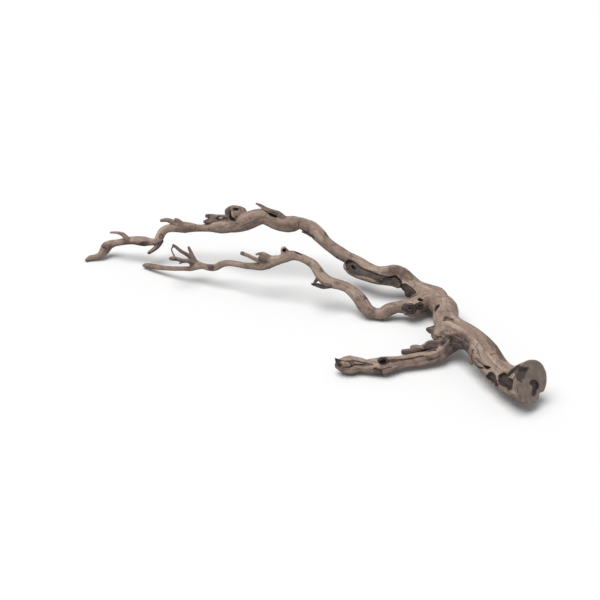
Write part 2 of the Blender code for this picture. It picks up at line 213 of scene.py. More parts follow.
stem = grow("stem", STEM, ribbing=0.035, collar=0)

# The near limb, its ring of dead fingers and its thin tail.
# It leaves the low bend, dips, climbs over the far side of its own hump and splits into a knot of
# finger-thin dead shoots and one smooth tail that reaches the ground.
NEAR = [
    (430, 301, 18, 13), (421, 303.5, 19, 12), (411, 307.4, 19, 11.8), (404, 306.5, 19, 8.8),
    (397, 307, 18, 7.5), (389, 309.5, 14, 8.5), (382, 313.5, 9, 8), (375, 313, 9, 7),
    (368.5, 310.5, 12, 8), (363.5, 305, 17, 9), (360, 299.5, 22.5, 8.5), (354.5, 293.5, 27.5, 7.5),
    (347.5, 288, 32, 6.5), (340, 285, 35, 6.5), (332, 283, 37, 7), (325.5, 280, 40, 7.5),
    (320.5, 275, 44.5, 7), (316.5, 269, 50, 6.5), (312.5, 264, 55, 6), (306, 260, 59.5, 5.5),
    (299, 257, 61.5, 5.5), (292, 255.5, 61.5, 6.5), (286, 257, 59.5, 7), (280, 259.5, 55, 6),
    (273, 261, 51, 7.5), (267, 263, 46.5, 8.5), (261, 266, 42.5, 6), (253, 266, 40.5, 5),
    (245, 265.5, 39, 4.5), (237, 264, 38, 4.3), (229, 263, 37, 4.4), (222, 264, 33, 5),
    (216, 267, 28.5, 5), (210, 267.5, 26.5, 5), (203, 266, 25.5, 4.6), (197, 265, 24.5, 6.5),
    (192.5, 265.5, 22.5, 6),
]
FRONT_LIMB_STARTS = 4
TAIL = [
    (199, 266, 24, 4.5), (191, 268.5, 20, 3.7), (184, 268.5, 18, 3.3), (175, 268.5, 15.5, 3.4),
    (165, 268, 12, 3.4), (157, 267, 9.5, 3.9), (150, 266, 7, 4), (145.5, 265.5, 5.3, 3.4),
    (143, 265.5, 4.8, 1.8),
]
FRONT_TAIL_STARTS = 2
near = grow("near", NEAR, ribbing=0.035, collar=4)
tail = grow("tail", TAIL, ribbing=0.03, collar=1)

PEG = [(266, 263.5, 46.5, 4.3), (260, 261, 51, 3.3), (254, 258.5, 55, 3), (248, 255.5, 59, 2.9),
       (241.5, 253, 62, 2.9)]
PEAK = [(271, 259.5, 53, 5.2), (264.5, 255, 59, 3.9), (260.5, 253.5, 60.5, 2.6), (256, 254.5, 60, 1.6)]
PEAK_WEB = [(269, 261.5, 50.5, 4.5), (263.5, 259, 55.5, 3.6), (259.5, 257, 57.5, 2.6)]
SOCKET = [(288, 256, 60.5, 5.9), (284.5, 251, 67, 5.4), (283.5, 248, 71, 3.6)]
HOOK = [(330, 285, 36, 4.5), (323, 286.5, 36, 3.6), (317, 285, 39, 3), (311.5, 284, 41, 1.5)]
HOOK_STALK = [(321, 275.5, 42, 3.6), (317, 279.3, 40.5, 2.5), (314.3, 283.3, 40, 2)]
FINGER_UP = [(194.5, 262, 29, 4.8), (192.5, 257, 35, 3.4), (190.5, 251.5, 42, 2.4), (188.5, 247, 48, 1.9)]
FINGER_LONG = [(193, 259.5, 32, 3.7), (187, 254.5, 40, 2.8), (181.5, 251.5, 46, 2.7),
               (176.5, 247.5, 52, 2.4), (173, 245, 56, 2)]
FINGER_THREAD = [(173.5, 246, 55, 1.4), (171.5, 249, 52, 1.2), (172.5, 252.5, 48, 1.2),
                 (175, 257.5, 43, 1.5)]
FINGER_LOW = [(194.5, 263, 27, 4.3), (188, 261, 33.5, 3.4), (182, 260.5, 36.5, 3.1),
              (177, 259, 41, 2.9), (173, 258.5, 42.5, 3.3), (170, 258.5, 43.5, 2.5)]
FINGER_SPUR = [(184, 261, 35, 2.3), (179.5, 263.5, 33, 1.2)]
for shoot, old_bark in (
        (PEG, 0.15), (PEAK, 0.25), (PEAK_WEB, 0.3), (SOCKET, 0.2), (HOOK, 0.9), (HOOK_STALK, 0.9),
        (FINGER_UP, 0.3), (FINGER_LONG, 0.25), (FINGER_THREAD, 0.5), (FINGER_LOW, 0.4),
        (FINGER_SPUR, 0.5)):
    grow("front_limb", shoot, old_bark)

# The side limb and the dead shoots by its root.
# It drops from under the arch to the ground, knuckled and grooved, and its end has rotted hollow.
# Two dead shoots lie beside its root, a thorn stands on the trunk and a curl of bark hangs from it.
SIDE = [
    (460, 338, 27, 11), (452.5, 343.3, 20, 10), (445, 348.8, 16, 9.5), (438, 354.5, 13.5, 8.8),
    (428, 358, 11.5, 8.5), (418, 359.5, 11.5, 8.5), (408, 361, 11, 8), (398, 363, 10.5, 8),
    (390, 364.5, 11, 9.5), (382, 366, 11.5, 10.5), (374, 366, 11, 9), (366, 366, 10.5, 7.5),
    (358, 365, 10.5, 9), (350, 365, 11, 11), (343, 365, 12.5, 9), (338, 364, 14, 6),
]
SIDE_LIMB_STARTS = 4
BUMP = [(429, 295, 17, 12.8), (436.5, 295.7, 17, 12.3), (441, 298.5, 17, 10.5)]
PLATE = [(416, 288, 20, 8), (410, 291.5, 17.5, 6.6), (408.8, 294.5, 16, 5.2)]
SHOULDER = [(449, 328, 24, 12), (443, 333, 20, 12), (438.5, 336.5, 18, 10.5)]
TWIN = [(443, 344.5, 20, 7.5), (437, 345.3, 21, 6.6), (430.5, 345.4, 20, 6.7), (424.5, 347.9, 18, 5.2),
        (417, 349.7, 17, 3.6), (410, 351.2, 16, 3.7), (402.6, 352, 14.5, 3.5)]
TWIN_UP = [(423, 348.5, 18.5, 3.2), (415.5, 346.5, 20.5, 2.7), (411, 347, 20.5, 2)]
CURL = [(476, 350, 30, 4.6), (472, 354.5, 26, 3.5), (471, 360, 21, 3.5), (471.5, 364, 17, 2)]
CROTCH = [(455, 343, 25, 7.5), (462, 345, 28, 6), (467, 346.3, 30, 4.6), (471, 347.5, 31, 3.6)]
THORN = [(442, 327.5, 20.5, 6), (432, 330, 21, 5.2), (427.5, 329, 22, 3)]
SPUR = [(386, 368, 9, 5.3), (385, 373, 4.5, 3.3), (384.5, 376, 2, 1.3)]
LIP = [(342, 363, 15, 5), (337.5, 361, 18.5, 2.9), (335.5, 358.5, 22, 1.2)]
side = grow("side", SIDE, ribbing=0.04, collar=4)
grow("trunk_crown", BUMP, collar=3)
grow("trunk_crown", PLATE, old_bark=0.5)
grow("trunk_crown", SHOULDER, collar=5)
grow("trunk_crown", TWIN, old_bark=0.85)
grow("trunk_crown", TWIN_UP, old_bark=0.5)
grow("trunk_butt", CURL, old_bark=0.5)
grow("trunk_crown", THORN, old_bark=0.95)
# The crotch strand's dark old-bark colour is painted shade in the hollow under the arch.
grow("trunk_crown", CROTCH, old_bark=0.8, collar=2)
grow("side_limb", SPUR)
grow("side_limb", LIP, old_bark=0.4)

# The dead limb and the dead shoots on the far limb.
# A dead limb has fused under the far limb's start, and its open side has rotted to a dark trough.
# A spear, a curled knob, a forked shoot, a paw, a drip and a crook stand along the limb.
DEAD_LIMB = [
    (399, 282.5, 25, 8), (392, 281, 26.5, 7), (384, 280, 27.5, 7), (376, 278.5, 28, 7.5),
    (367, 275, 28.5, 8.5), (358, 271, 29.5, 9.5), (351, 267, 32, 9.5), (346.5, 265.5, 34, 6.5),
]
SPEAR = [(284, 218, 80, 4), (278, 214, 85, 4.6), (272, 212, 88.5, 4.2), (266, 209, 92, 3.1),
         (260.5, 205.5, 95, 2.3), (256, 203.5, 97, 1.3)]
FLAP = [(316, 236, 58, 4), (311.5, 235, 61, 3.3), (307, 233, 64.5, 2.5), (302.5, 231.5, 66, 1.9)]
KNOB_CURL = [(243, 219, 75, 5.5), (243, 211.5, 85, 4.8), (238, 209, 88, 4.5), (232, 208.5, 88, 4.2),
             (227.5, 211.5, 84, 3.9), (229.5, 216.5, 76, 3.8), (231.5, 221, 69, 4)]
KNOB_CORE = [(246, 217.5, 75, 6.4), (240, 215.5, 77.5, 6.3), (234.5, 215, 78, 5.6), (230.5, 214.5, 78.5, 3.6)]
KNOB_FILL = [(246, 216.5, 78, 6.5), (241.5, 213.5, 82, 7), (237, 212.8, 83, 6.7)]
KNOB_STRAP = [(234.5, 209, 86, 3), (232.6, 213, 83.5, 2.4), (234, 217, 79, 2.2), (236.5, 219.5, 75, 2)]
FORKED = [(231, 215.5, 77, 3.4), (225, 216, 74, 2.6), (218, 216, 72, 2.3), (211, 215.7, 70.5, 2.9),
          (206.3, 216, 69.5, 2.9)]
FORKED_DOWN = [(219, 216, 72, 2.2), (215, 217, 69.5, 2.6), (211.5, 219, 66, 3), (208, 220.5, 63, 3.1),
               (204.2, 222, 61, 2.7)]
FORKED_WEB = [(233, 219.5, 70, 4.2), (227, 219.3, 68, 4.3), (221, 220, 65.5, 2.8), (214.5, 219.5, 65.5, 3),
              (210.5, 220.8, 63.5, 3.2), (206.5, 221.8, 62, 2.8)]
PAW = [(178, 225, 56, 5.6), (171.5, 221.5, 60, 3.9), (166.5, 220, 61.5, 3.1), (161, 220.5, 60, 2.5)]
PAW_LUMP = [(182, 224.5, 57, 4.9), (177, 220, 63.5, 3.2), (175, 219, 65, 1.9)]
DRIP = [(160.5, 240.5, 35, 4.9), (157.5, 246, 28, 3.8), (153, 250, 23, 3.1), (148.5, 253, 19, 2.5)]
CROOK = [(130, 240.5, 29.5, 4.2), (126, 237.5, 35, 3.9), (123, 234.5, 39, 3.5), (119, 233, 42, 2.5),
         (115, 232.5, 42.5, 2.1), (110.5, 232.5, 42, 1.7)]
grow("back_limb", DEAD_LIMB, old_bark=0.1, collar=2)
for shoot, old_bark in (
        (SPEAR, 0.45), (FLAP, 0.6), (KNOB_CURL, 0.15), (KNOB_CORE, 0.1), (KNOB_FILL, 0.0),
        (KNOB_STRAP, 0.1), (FORKED, 0.25), (FORKED_DOWN, 0.3), (FORKED_WEB, 0.25), (PAW, 0.25),
        (PAW_LUMP, 0.3), (DRIP, 0.95), (CROOK, 0.1)):
    grow("back_limb", shoot, old_bark)

# The grown body.
# All the limbs are skinned, melted together as one closed skin of fine even faces, and every
# point is then set on the limbs' own surface, with a fillet of wood round each fork.
SKIN_SIDES = 20
FINE_FACE = 0.78
TWIST_RUN = 60
BLUNT_END = 0.6
UNREACHED = 99.0
SAW_EDGE = 0.8
BUTT_REACH = 60
GRAIN_APART = 370.0
POINTS_AT_ONCE = 20000
SETTLE_TURNS = 3
SETTLE_STEP = 1.5


def skin_of(limb):
    """Points and faces of a limb's closed skin."""
    angles = np.arange(SKIN_SIDES) * math.tau / SKIN_SIDES
    rings = (limb["middles"][:, None] + limb["radii"][:, None, None] * (
        limb["sides"][:, None] * np.cos(angles)[None, :, None]
        + limb["others"][:, None] * np.sin(angles)[None, :, None]))
    if limb is stem:
        heading = limb["headings"][0]
        reach = (limb["middles"][0] - rings[0]) @ SAW_CUT_FACES / (heading @ SAW_CUT_FACES)
        rings[0] += heading * reach[:, None]
    points = rings.reshape(-1, 3)
    faces = []
    for ring in range(len(rings) - 1):
        for k in range(SKIN_SIDES):
            n = (k + 1) % SKIN_SIDES
            here = ring * SKIN_SIDES
            there = here + SKIN_SIDES
            faces.append((here + k, there + k, there + n, here + n))
    faces.append(tuple(range(SKIN_SIDES)))
    faces.append(tuple(len(points) - 1 - k for k in range(SKIN_SIDES)))
    return points, faces


def swell_of(limb, angle, along):
    """How far a limb's outline stands in or out of round."""
    twist = along / TWIST_RUN
    return 1 + limb["ribbing"] * (np.cos(2 * angle + twist) + 0.8 * np.cos(3 * angle - twist))


def measured_on(limb, points):
    """Depth of points outside a limb's skin, with their place in the limb's straightened wood."""
    middles = limb["middles"]
    last = len(middles) - 1
    gaps = (points ** 2).sum(1)[:, None] - 2 * points @ middles.T + (middles ** 2).sum(1)[None]
    near_to = gaps.argmin(1)
    ahead = ((points - middles[near_to]) * limb["headings"][near_to]).sum(1)
    beside = np.clip(near_to + np.where(ahead > 0, 1, -1), 0, last)
    stride = np.maximum(np.linalg.norm(middles[beside] - middles[near_to], axis=1), 1e-6)
    t = np.where(beside == near_to, 0, np.clip(np.abs(ahead) / stride, 0, 1))

    def between(name):
        values = limb[name]
        weight = t if values.ndim == 1 else t[:, None]
        return values[near_to] * (1 - weight) + values[beside] * weight

    offset = points - between("middles")
    heading = between("headings")
    over = (offset * heading).sum(1)
    outside = np.where(beside == near_to, np.abs(over), 0)
    across = (offset * between("sides")).sum(1)
    down = (offset * between("others")).sum(1)
    along = between("along")
    radius = between("radii")
    swell = swell_of(limb, np.arctan2(down, across), along)
    if limb is stem:
        outside = np.where(near_to == 0, 0, outside)
    depth = np.hypot(np.hypot(across, down), outside / BLUNT_END) - radius * swell
    place = np.stack((along + over, across, down), 1)
    return depth, place, radius, along


def read_wood(points):
    """Blended depth, nearest limb, straightened place, girth, place along and nearness to a fork."""
    count = len(points)
    wood = {
        "depth": np.full(count, UNREACHED), "best": np.full(count, UNREACHED),
        "next": np.full(count, UNREACHED),
        "limb": np.zeros(count, int), "place": np.zeros((count, 3)), "girth": np.ones(count),
        "along": np.zeros(count),
    }
    for index, limb in enumerate(limbs):
        reach = limb["radii"].max() + 10
        low = limb["middles"].min(0) - reach
        high = limb["middles"].max(0) + reach
        inside = np.flatnonzero(((points > low) & (points < high)).all(1))
        for part in np.array_split(inside, len(inside) // POINTS_AT_ONCE + 1):
            if not len(part):
                continue
            depth, place, radius, along = measured_on(limb, points[part])
            soft = max(limb["collar"], 0.01)
            h = np.clip(0.5 + 0.5 * (wood["depth"][part] - depth) / soft, 0, 1)
            blended = wood["depth"][part] * (1 - h) + depth * h - soft * h * (1 - h)
            wood["depth"][part] = np.where(wood["depth"][part] == UNREACHED, depth, blended)
            closer = depth < wood["best"][part]
            wood["next"][part] = np.where(closer, wood["best"][part], np.minimum(wood["next"][part], depth))
            wood["best"][part] = np.minimum(wood["best"][part], depth)
            for name, values in (("place", place + index * GRAIN_APART), ("girth", radius), ("along", along)):
                wood[name][part[closer]] = values[closer]
            wood["limb"][part[closer]] = index
    beyond = (points - stem["middles"][0]) @ SAW_CUT_FACES
    near_butt = np.linalg.norm(points - stem["middles"][0], axis=1) < BUTT_REACH
    h = np.clip(0.5 + 0.5 * (wood["depth"] - beyond) / SAW_EDGE, 0, 1)
    capped = beyond * (1 - h) + wood["depth"] * h + SAW_EDGE * h * (1 - h)
    wood["depth"] = np.where(near_butt, capped, wood["depth"])
    wood["beyond"] = np.where(near_butt, beyond, -UNREACHED)
    return wood


def read_each(things, field, width=1, kind=np.float32):
    """One field of each point, edge, face or corner of a mesh."""
    flat = np.empty(len(things) * width, kind)
    things.foreach_get(field, flat)
    return flat.reshape(-1, width) if width > 1 else flat


def store(mesh, name, values):
    """Keep a number or a direction for each point of a mesh, under a name."""
    kind, field = ("FLOAT", "value") if values.ndim == 1 else ("FLOAT_VECTOR", "vector")
    layer = mesh.attributes.new(name, kind, "POINT")
    layer.data.foreach_set(field, values.astype(np.float32).ravel())


def points_of(mesh):
    """A mesh's points in millimetres."""
    return read_each(mesh.vertices, "co", 3).astype(float) * 1000


def facings_of(mesh):
    """The direction each point of a mesh faces."""
    return read_each(mesh.vertex_normals, "vector", 3).astype(float)


def move_points(mesh, points):
    """Set a mesh's points from millimetres."""
    mesh.vertices.foreach_set("co", (points / 1000).astype(np.float32).ravel())
    mesh.update()


all_points = []
all_faces = []
for limb in limbs:
    points, faces = skin_of(limb)
    base = sum(len(part) for part in all_points)
    all_points.append(points)
    all_faces += [tuple(base + k for k in face) for face in faces]
rough = bpy.data.meshes.new("rough")
rough.from_pydata((np.concatenate(all_points) / 1000).tolist(), [], all_faces)
body = add_object("body", rough)
melt = body.modifiers.new("melt", "REMESH")
melt.mode = "VOXEL"
melt.voxel_size = FINE_FACE / 1000
even = body.modifiers.new("even", "SMOOTH")
even.factor = 0.5
even.iterations = 5
graph = bpy.context.evaluated_depsgraph_get()
wood_mesh = bpy.data.meshes.new_from_object(body.evaluated_get(graph))
body.modifiers.clear()
body.data = wood_mesh
for settle in range(SETTLE_TURNS):
    points = points_of(wood_mesh)
    wood = read_wood(points)
    step = np.clip(wood["depth"], -SETTLE_STEP, SETTLE_STEP)
    move_points(wood_mesh, points - facings_of(wood_mesh) * step[:, None])

# Knots, pockets, troughs and cracks.
# The blasting left the hard wood proud and the old bark deep in its hollows. Each is sunk along a
# course (column, row and width in mm) or within an outline (column and row) of the photograph.
graph = bpy.context.evaluated_depsgraph_get()
wood_tree = BVHTree.FromObject(body, graph)
skin_points = points_of(wood_mesh)
skin_facings = facings_of(wood_mesh)
wood = read_wood(skin_points)
shift = np.zeros_like(skin_points)
marks_on_wood = {name: np.zeros(len(skin_points)) for name in ("hollow", "stain", "crack")}
marks_on_wood["old_bark"] = np.array([limb["old_bark"] for limb in limbs])[wood["limb"]]


def seen_at(points):
    """Column and row of the photograph where each point is seen."""
    offset = points - EYE
    ahead = offset @ FORWARD / FOCAL_COLUMNS
    return np.stack((MIDDLE + offset @ RIGHT / ahead, MIDDLE - offset @ UP / ahead), 1)


skin_seen = seen_at(skin_points)
skin_looks = -(skin_facings * (skin_points - EYE)).sum(1) / np.linalg.norm(skin_points - EYE, axis=1)


def smooth(low, high, values):
    """0 below the low value, 1 above the high one and an even rise between them."""
    t = np.clip((values - low) / (high - low), 0, 1)
    return t * t * (3 - 2 * t)


def seen_on_wood(column, row):
    """Where the line of sight meets the wood, in millimetres, and which way the wood faces."""
    line = Vector(sight_line(column, row)).normalized()
    place, facing, _, _ = wood_tree.ray_cast(Vector(EYE / 1000), line)
    if place is None:
        place, facing, _, _ = wood_tree.find_nearest(Vector(EYE / 1000) + line * 1.3)
    return np.array(place) * 1000, np.array(facing)


def course_on_wood(course, spare):
    """The points near a course, how far out each lies in half widths, and which way it faces."""
    seen = [seen_on_wood(column, row) for column, row, _ in course]
    spots = np.array([place for place, _ in seen])
    facings = np.array([facing for _, facing in seen])
    halves = np.array([width / 2 for _, _, width in course])
    reach = halves.max() * spare + 1
    low = spots.min(0) - reach
    high = spots.max(0) + reach
    close = np.flatnonzero(((skin_points > low) & (skin_points < high)).all(1))
    best = np.full(len(close), 99.0)
    toward = np.zeros((len(close), 3))
    for index in range(max(len(course) - 1, 1)):
        after = min(index + 1, len(course) - 1)
        way = spots[after] - spots[index]
        length = max(np.linalg.norm(way), 1e-6)
        t = np.clip(((skin_points[close] - spots[index]) @ way) / length ** 2, 0, 1)
        gap = np.linalg.norm(skin_points[close] - spots[index] - t[:, None] * way, axis=1)
        out = gap / (halves[index] + (halves[after] - halves[index]) * t)
        nearer = out < best
        best[nearer] = out[nearer]
        turn = facings[index] + (facings[after] - facings[index]) * t[:, None]
        toward[nearer] = (turn / np.linalg.norm(turn, axis=1)[:, None])[nearer]
    keep = best < spare
    return close[keep], best[keep], toward[keep]


def ragged(points, size):
    """A slow uneven wave through space, about -1 to 1, so that no edge is drawn with a compass."""
    x, y, z = (points / size).T
    wave = np.sin(x * 2.1 + 1.3 * np.sin(y * 1.7)) + np.sin(y * 2.7 + 1.1 * np.sin(z * 2.3))
    return (wave + np.sin(z * 3.1 + 1.2 * np.sin(x * 1.9))) / 3


def mark(name, close, cover):
    """Lay a mark on some points of the wood, wherever it is stronger than what is there."""
    marks_on_wood[name][close] = np.maximum(marks_on_wood[name][close], cover)


def mean_facing(close):
    """The way that a patch of wood faces on the whole."""
    toward = skin_facings[close].mean(0)
    return toward / np.linalg.norm(toward)


def furrow(course, depth, bank=0.3, dark=1.0, wear=0.16, wall=0.55):
    """Sink a hollow along a course, with a worn bank round it and old bark in its bed."""
    close, out, toward = course_on_wood(course, 1.8)
    out = out * (1 + wear * ragged(skin_points[close], 3.2))
    sink = depth * (1 - smooth(wall, 1.05, out))
    rough = 0.12 * depth * ragged(skin_points[close] + 31, 1.1) * (1 - smooth(0.5, 0.9, out))
    worn = bank * np.exp(-((out - 1.22) / 0.2) ** 2)
    shift[close] += toward * (worn + rough - sink)[:, None]
    mark("hollow", close, dark * (1 - smooth(0.78, 1.12, out)))


def crack(course, depth=1.2):
    """Open a thin drying crack along a course."""
    close, out, toward = course_on_wood(course, 1.6)
    open_by = 1 - smooth(0.3, 1.1, out)
    shift[close] -= toward * (depth * open_by)[:, None]
    mark("crack", close, open_by)


def ridge(course, height, spare=1.6):
    """Raise a rounded ridge of hard wood along a course."""
    close, out, toward = course_on_wood(course, spare)
    shift[close] += toward * (height * np.exp(-(out / 0.75) ** 2))[:, None]


def inside_outline(outline, spare=2.5):
    """The points seen within an outline drawn on the photograph, and how far in each lies in mm."""
    corners = np.array(outline, float)
    quarters = np.arange(0, 1, 0.25)[:, None, None]
    loop = curve_between(*(np.roll(corners, turn, 0)[None] for turn in (1, 0, -1, -2)), quarters)
    loop = loop.transpose(1, 0, 2).reshape(-1, 2)
    low = loop.min(0) - spare
    high = loop.max(0) + spare
    close = np.flatnonzero((skin_seen > low).all(1) & (skin_seen < high).all(1) & (skin_looks > 0.02))
    open_to_eye = []
    for k in close:
        line = Vector(skin_points[k] - EYE) / 1000
        place, _, _, gone = wood_tree.ray_cast(Vector(EYE / 1000), line.normalized())
        open_to_eye.append(place is None or gone > line.length - 0.0025)
    close = close[np.array(open_to_eye, bool)]
    seen = skin_seen[close]
    gap = np.full(len(close), 99.0)
    inside = np.zeros(len(close), bool)
    for start, end in zip(loop, np.roll(loop, -1, 0)):
        way = end - start
        t = np.clip((seen - start) @ way / max(way @ way, 1e-9), 0, 1)
        gap = np.minimum(gap, np.linalg.norm(seen - start - t[:, None] * way, axis=1))
        crosses = (start[1] > seen[:, 1]) != (end[1] > seen[:, 1])
        drop = way[1] if abs(way[1]) > 1e-9 else 1e-9
        inside ^= crosses & (seen[:, 0] < start[0] + way[0] * (seen[:, 1] - start[1]) / drop)
    return close, np.where(inside, gap, -gap) * SIGHT_LENGTH / FOCAL_COLUMNS


def strands(close, width=1.5, run=9.0):
    """Uneven strands along the grain, about -1 to 1, as old fibres lie in a hollow."""
    place = wood["place"][close] / (run, width, width)
    return ragged(place * 1.7, 1.0)


def pocket(outline, depth, wall=1.6, bank=0.3, bark=0.9, rim=0.8, fibre=0.3, wear=0.5):
    """Sink a pocket within an outline: a worn bank, painted shade along its undercut edge and old bark in its
    bed.
    """
    close, deep_in = inside_outline(outline)
    deep_in = deep_in + wear * ragged(skin_points[close], 2.6)
    toward = mean_facing(close[deep_in > 0])
    bed = smooth(0.4, 2.0, deep_in)
    sink = depth * smooth(-0.3, wall, deep_in) - fibre * bed * strands(close)
    worn = bank * np.exp(-((deep_in + 0.9) / 0.7) ** 2)
    shift[close] += toward * (worn - sink)[:, None]
    mark("hollow", close, bark * smooth(-0.5, 0.5, deep_in))
    # Painted shade along the undercut edge, laid in crack colour.
    mark("crack", close, rim * np.exp(-((deep_in - 0.35) / 0.75) ** 2))


def tint(outline, name, amount, soft=1.5):
    """Colour the wood within an outline: stain or old bark that fades out at its edge."""
    close, deep_in = inside_outline(outline, 3)
    cover = amount * smooth(-soft, soft, deep_in + 1.4 * ragged(skin_points[close], 3))
    mark(name, close, cover * (1 - 0.5 * smooth(-0.1, 0.7, strands(close))))


def ripples(outline, rings, height, dark=0.8):
    """A branch scar: rings of wood one inside another, round a dark heart."""
    close, deep_in = inside_outline(outline)
    deep_in = deep_in + 0.3 * ragged(skin_points[close], 2.5)
    most = max(deep_in.max(), 1)
    toward = mean_facing(close[deep_in > 0])
    share = np.clip(deep_in / most, -0.5, 1)
    wave = np.cos(share * math.tau * rings)
    boss = height * smooth(-0.25, 0.3, share)
    groove = -0.7 * smooth(-0.2, 1, wave) * (share > -0.12)
    heart = -2.6 * smooth(0.72, 1.0, share)
    shift[close] += toward * (boss + groove + heart)[:, None]
    mark("crack", close, dark * smooth(0.1, 0.9, wave) * (share > -0.12))
    cover = 0.95 * smooth(-0.1, 0.1, share)
    mark("hollow", close, 0.45 * cover)
    mark("old_bark", close, cover)


# Trunk: two bark pockets by the butt and the dark gash that joins them to the sawn face, the slit
# above them, the hollow under the arch darkened with painted shade, the bark step, and the stain on
# the far shoulder, which also paints shade on that flank.
pocket([(486.3, 376.5), (488.7, 372.8), (492, 372.2), (494.6, 374.5), (496.2, 378), (497.2, 382),
        (498, 386), (494.5, 386), (490.5, 383.8), (487.6, 380.3)], 3.6, bark=0.85, fibre=0.6)
pocket([(498, 377), (500, 374.3), (503, 372.8), (506, 373.6), (507.5, 377), (511, 378.8), (513.2, 380),
        (512.8, 385), (511.2, 389.8), (508.6, 390.3), (506.3, 387.3), (502.5, 386.6), (499.2, 384)],
       4.0, bark=0.9, fibre=0.7)
pocket([(507.3, 374.6), (509.6, 371.4), (513.6, 368.2), (517.4, 365), (519.6, 366.4), (517.2, 370.8),
        (514, 372.8), (511.4, 373.8), (509.4, 376.8)], 2.2, wall=1.4, bank=0.2, bark=0.9, rim=0.9, wear=0.3)
ridge([(509.5, 378, 3), (513.5, 374.2, 3)], 0.9)
crack([(512.6, 379.5, 2), (514.4, 376.8, 2.4), (516, 373.5, 1.8)], 1.0)
pocket([(483.5, 365.3), (486, 365.8), (488.5, 366.5), (490.8, 367.4), (488, 368.9), (485.6, 368.8)],
       3.4, wall=1.0, bark=1, rim=1, wear=0.1)
furrow([(475, 358.5, 1.8), (479, 362, 2.4), (483.5, 365.5, 2.4)], 0.9, bank=0.2, dark=0.5)
furrow([(490.5, 354.3, 1.6), (495, 353.6, 2.4), (500, 354.6, 2)], 0.7, bank=0.2, dark=0.35)
# Painted shade: the hollow under the arch is darkened with old-bark and hollow colour where shade falls.
pocket([(445, 335.5), (452, 333.5), (461, 333), (469, 336.5), (472, 343), (468, 348.5), (458, 350.5),
        (448, 353), (442, 354), (442.5, 345)], 2.4, wall=9, bank=0, bark=0.3, rim=0, fibre=0.35)
tint([(447, 337), (456, 334.5), (466, 338), (470, 344), (468, 350.5), (455, 353.5), (446, 357), (443, 348)],
     "old_bark", 0.9, 3)
tint([(452, 345), (458, 340.5), (465, 340), (468.5, 345), (468, 350), (456, 352.5), (449, 356)],
     "hollow", 0.7, 2.5)
ridge([(441, 331, 5), (450, 328.8, 6), (460, 329.5, 6), (468, 333.5, 5)], 1.2)
ridge([(444, 337, 5), (441.5, 342, 5), (439.5, 347, 5), (438, 352, 5)], 2.0)
ridge([(474.5, 347, 5), (477.5, 344, 5), (483, 343.5, 5)], 1.3)
ridge([(505.5, 395.5, 4), (509, 397, 4), (512, 398, 3)], 1.8)
furrow([(472.6, 350.5, 2.2), (471.8, 354.5, 2.8), (471.9, 358.5, 2.8), (473, 362, 2.4), (475.5, 365, 2.4),
        (479, 367.6, 2.4), (483, 368.2, 1.8)], 2.2, bank=0.3, dark=0.95)
tint([(467, 349), (474, 349), (474.5, 357), (476, 364), (471, 366), (467, 360)], "old_bark", 0.5, 1)
# Painted shadow: a dark line under the twin lump, where it overhangs the side limb.
furrow([(421, 350.8, 1.8), (426, 350.2, 2.6), (431, 350.4, 2.8), (436.5, 350.8, 1.8)], 1.2,
       bank=0.1, dark=1.0)
furrow([(437, 337.6, 2.2), (440, 337.2, 3), (443.5, 337.6, 2.2)], 0.8, bank=0.2, dark=0.3)
tint([(423, 344), (428, 340.3), (436, 339.5), (438, 344), (437, 350), (424, 350.5)], "old_bark", 0.95, 1.2)
tint([(426, 329), (431, 325.4), (434, 327), (433, 333), (430.6, 335)], "old_bark", 1.0, 0.8)
tint([(504, 393.5), (510, 394), (516, 398), (513, 400.5), (505, 399)], "old_bark", 0.6)
pocket([(443.6, 321.4), (444.3, 317.5), (447.5, 316.6), (451.5, 318.5), (454, 320.6), (448, 320.4)],
       2.0, wall=1.4, bank=0.2, bark=0.45, rim=0.6, fibre=0.3)
# A stain on the far shoulder, laid deeper as painted shade on that flank.
tint([(487, 336), (497, 344), (504, 353), (506, 361), (500, 359), (495, 350), (488, 343)], "stain", 0.8, 2.5)
tint([(494, 345.5), (499, 348), (502, 353), (498, 353)], "old_bark", 0.5, 1)

# Crown: the hanging bark plate, the ringed knot and its smaller neighbour, the black hole over
# them, the slot in the crotch, and the rusty stain where the limbs part.
pocket([(400, 285.7), (403, 284), (406, 283.7), (409, 285.5), (412.8, 288.7), (415.8, 292), (414, 294.4),
        (411, 296), (408, 297.3), (405.3, 297), (403, 294), (401, 290.3)], 1.5, wall=1.2, bank=0.5,
       bark=0.8, rim=0.85, fibre=0.5)
ripples([(402, 307.6), (403.6, 305), (406.3, 303.8), (410, 303.5), (413.6, 304), (415.6, 306.3),
         (416.4, 309), (414.8, 312), (411.5, 313.7), (408, 314), (405.5, 312), (403, 310)], 2, 1.6)
ripples([(415.3, 304.6), (417.6, 303), (420.8, 302.8), (423.4, 304.8), (422.7, 307.4), (419.6, 309),
         (416.8, 308.8)], 1, 1.2)
pocket([(417.8, 299.4), (419.6, 298.3), (421.6, 298.9), (423.3, 300.4), (421.6, 301.3), (419.2, 300.9)],
       3.8, wall=0.9, bank=0.4, bark=1, rim=1, wear=0.1)
pocket([(434.6, 310.8), (435.2, 307.4), (436.8, 305.4), (439.6, 304.8), (439, 307.3), (437.4, 309.2),
        (436, 311)], 3.0, wall=1.0, bank=0.4, bark=0.95, rim=0.9, wear=0.2)
furrow([(434.8, 311, 1.8), (434, 315, 2), (432.8, 318, 1.8)], 0.9, bank=0.2, dark=0.4)
# Painted shade on the underside by the crotch, in old-bark colour.
tint([(419, 311), (426, 306), (431, 308), (433, 314), (430, 317), (422, 314)], "old_bark", 0.7, 2.5)
tint([(427, 298.5), (431, 299), (431, 304), (427, 304)], "stain", 0.5, 2.5)
tint([(389, 267), (398, 266.5), (407, 270), (414, 277), (411, 280.5), (402, 279), (396, 274), (389, 273)],
     "stain", 0.85, 2)
ridge([(438, 288.5, 7), (441.5, 291.5, 6)], 0.8)

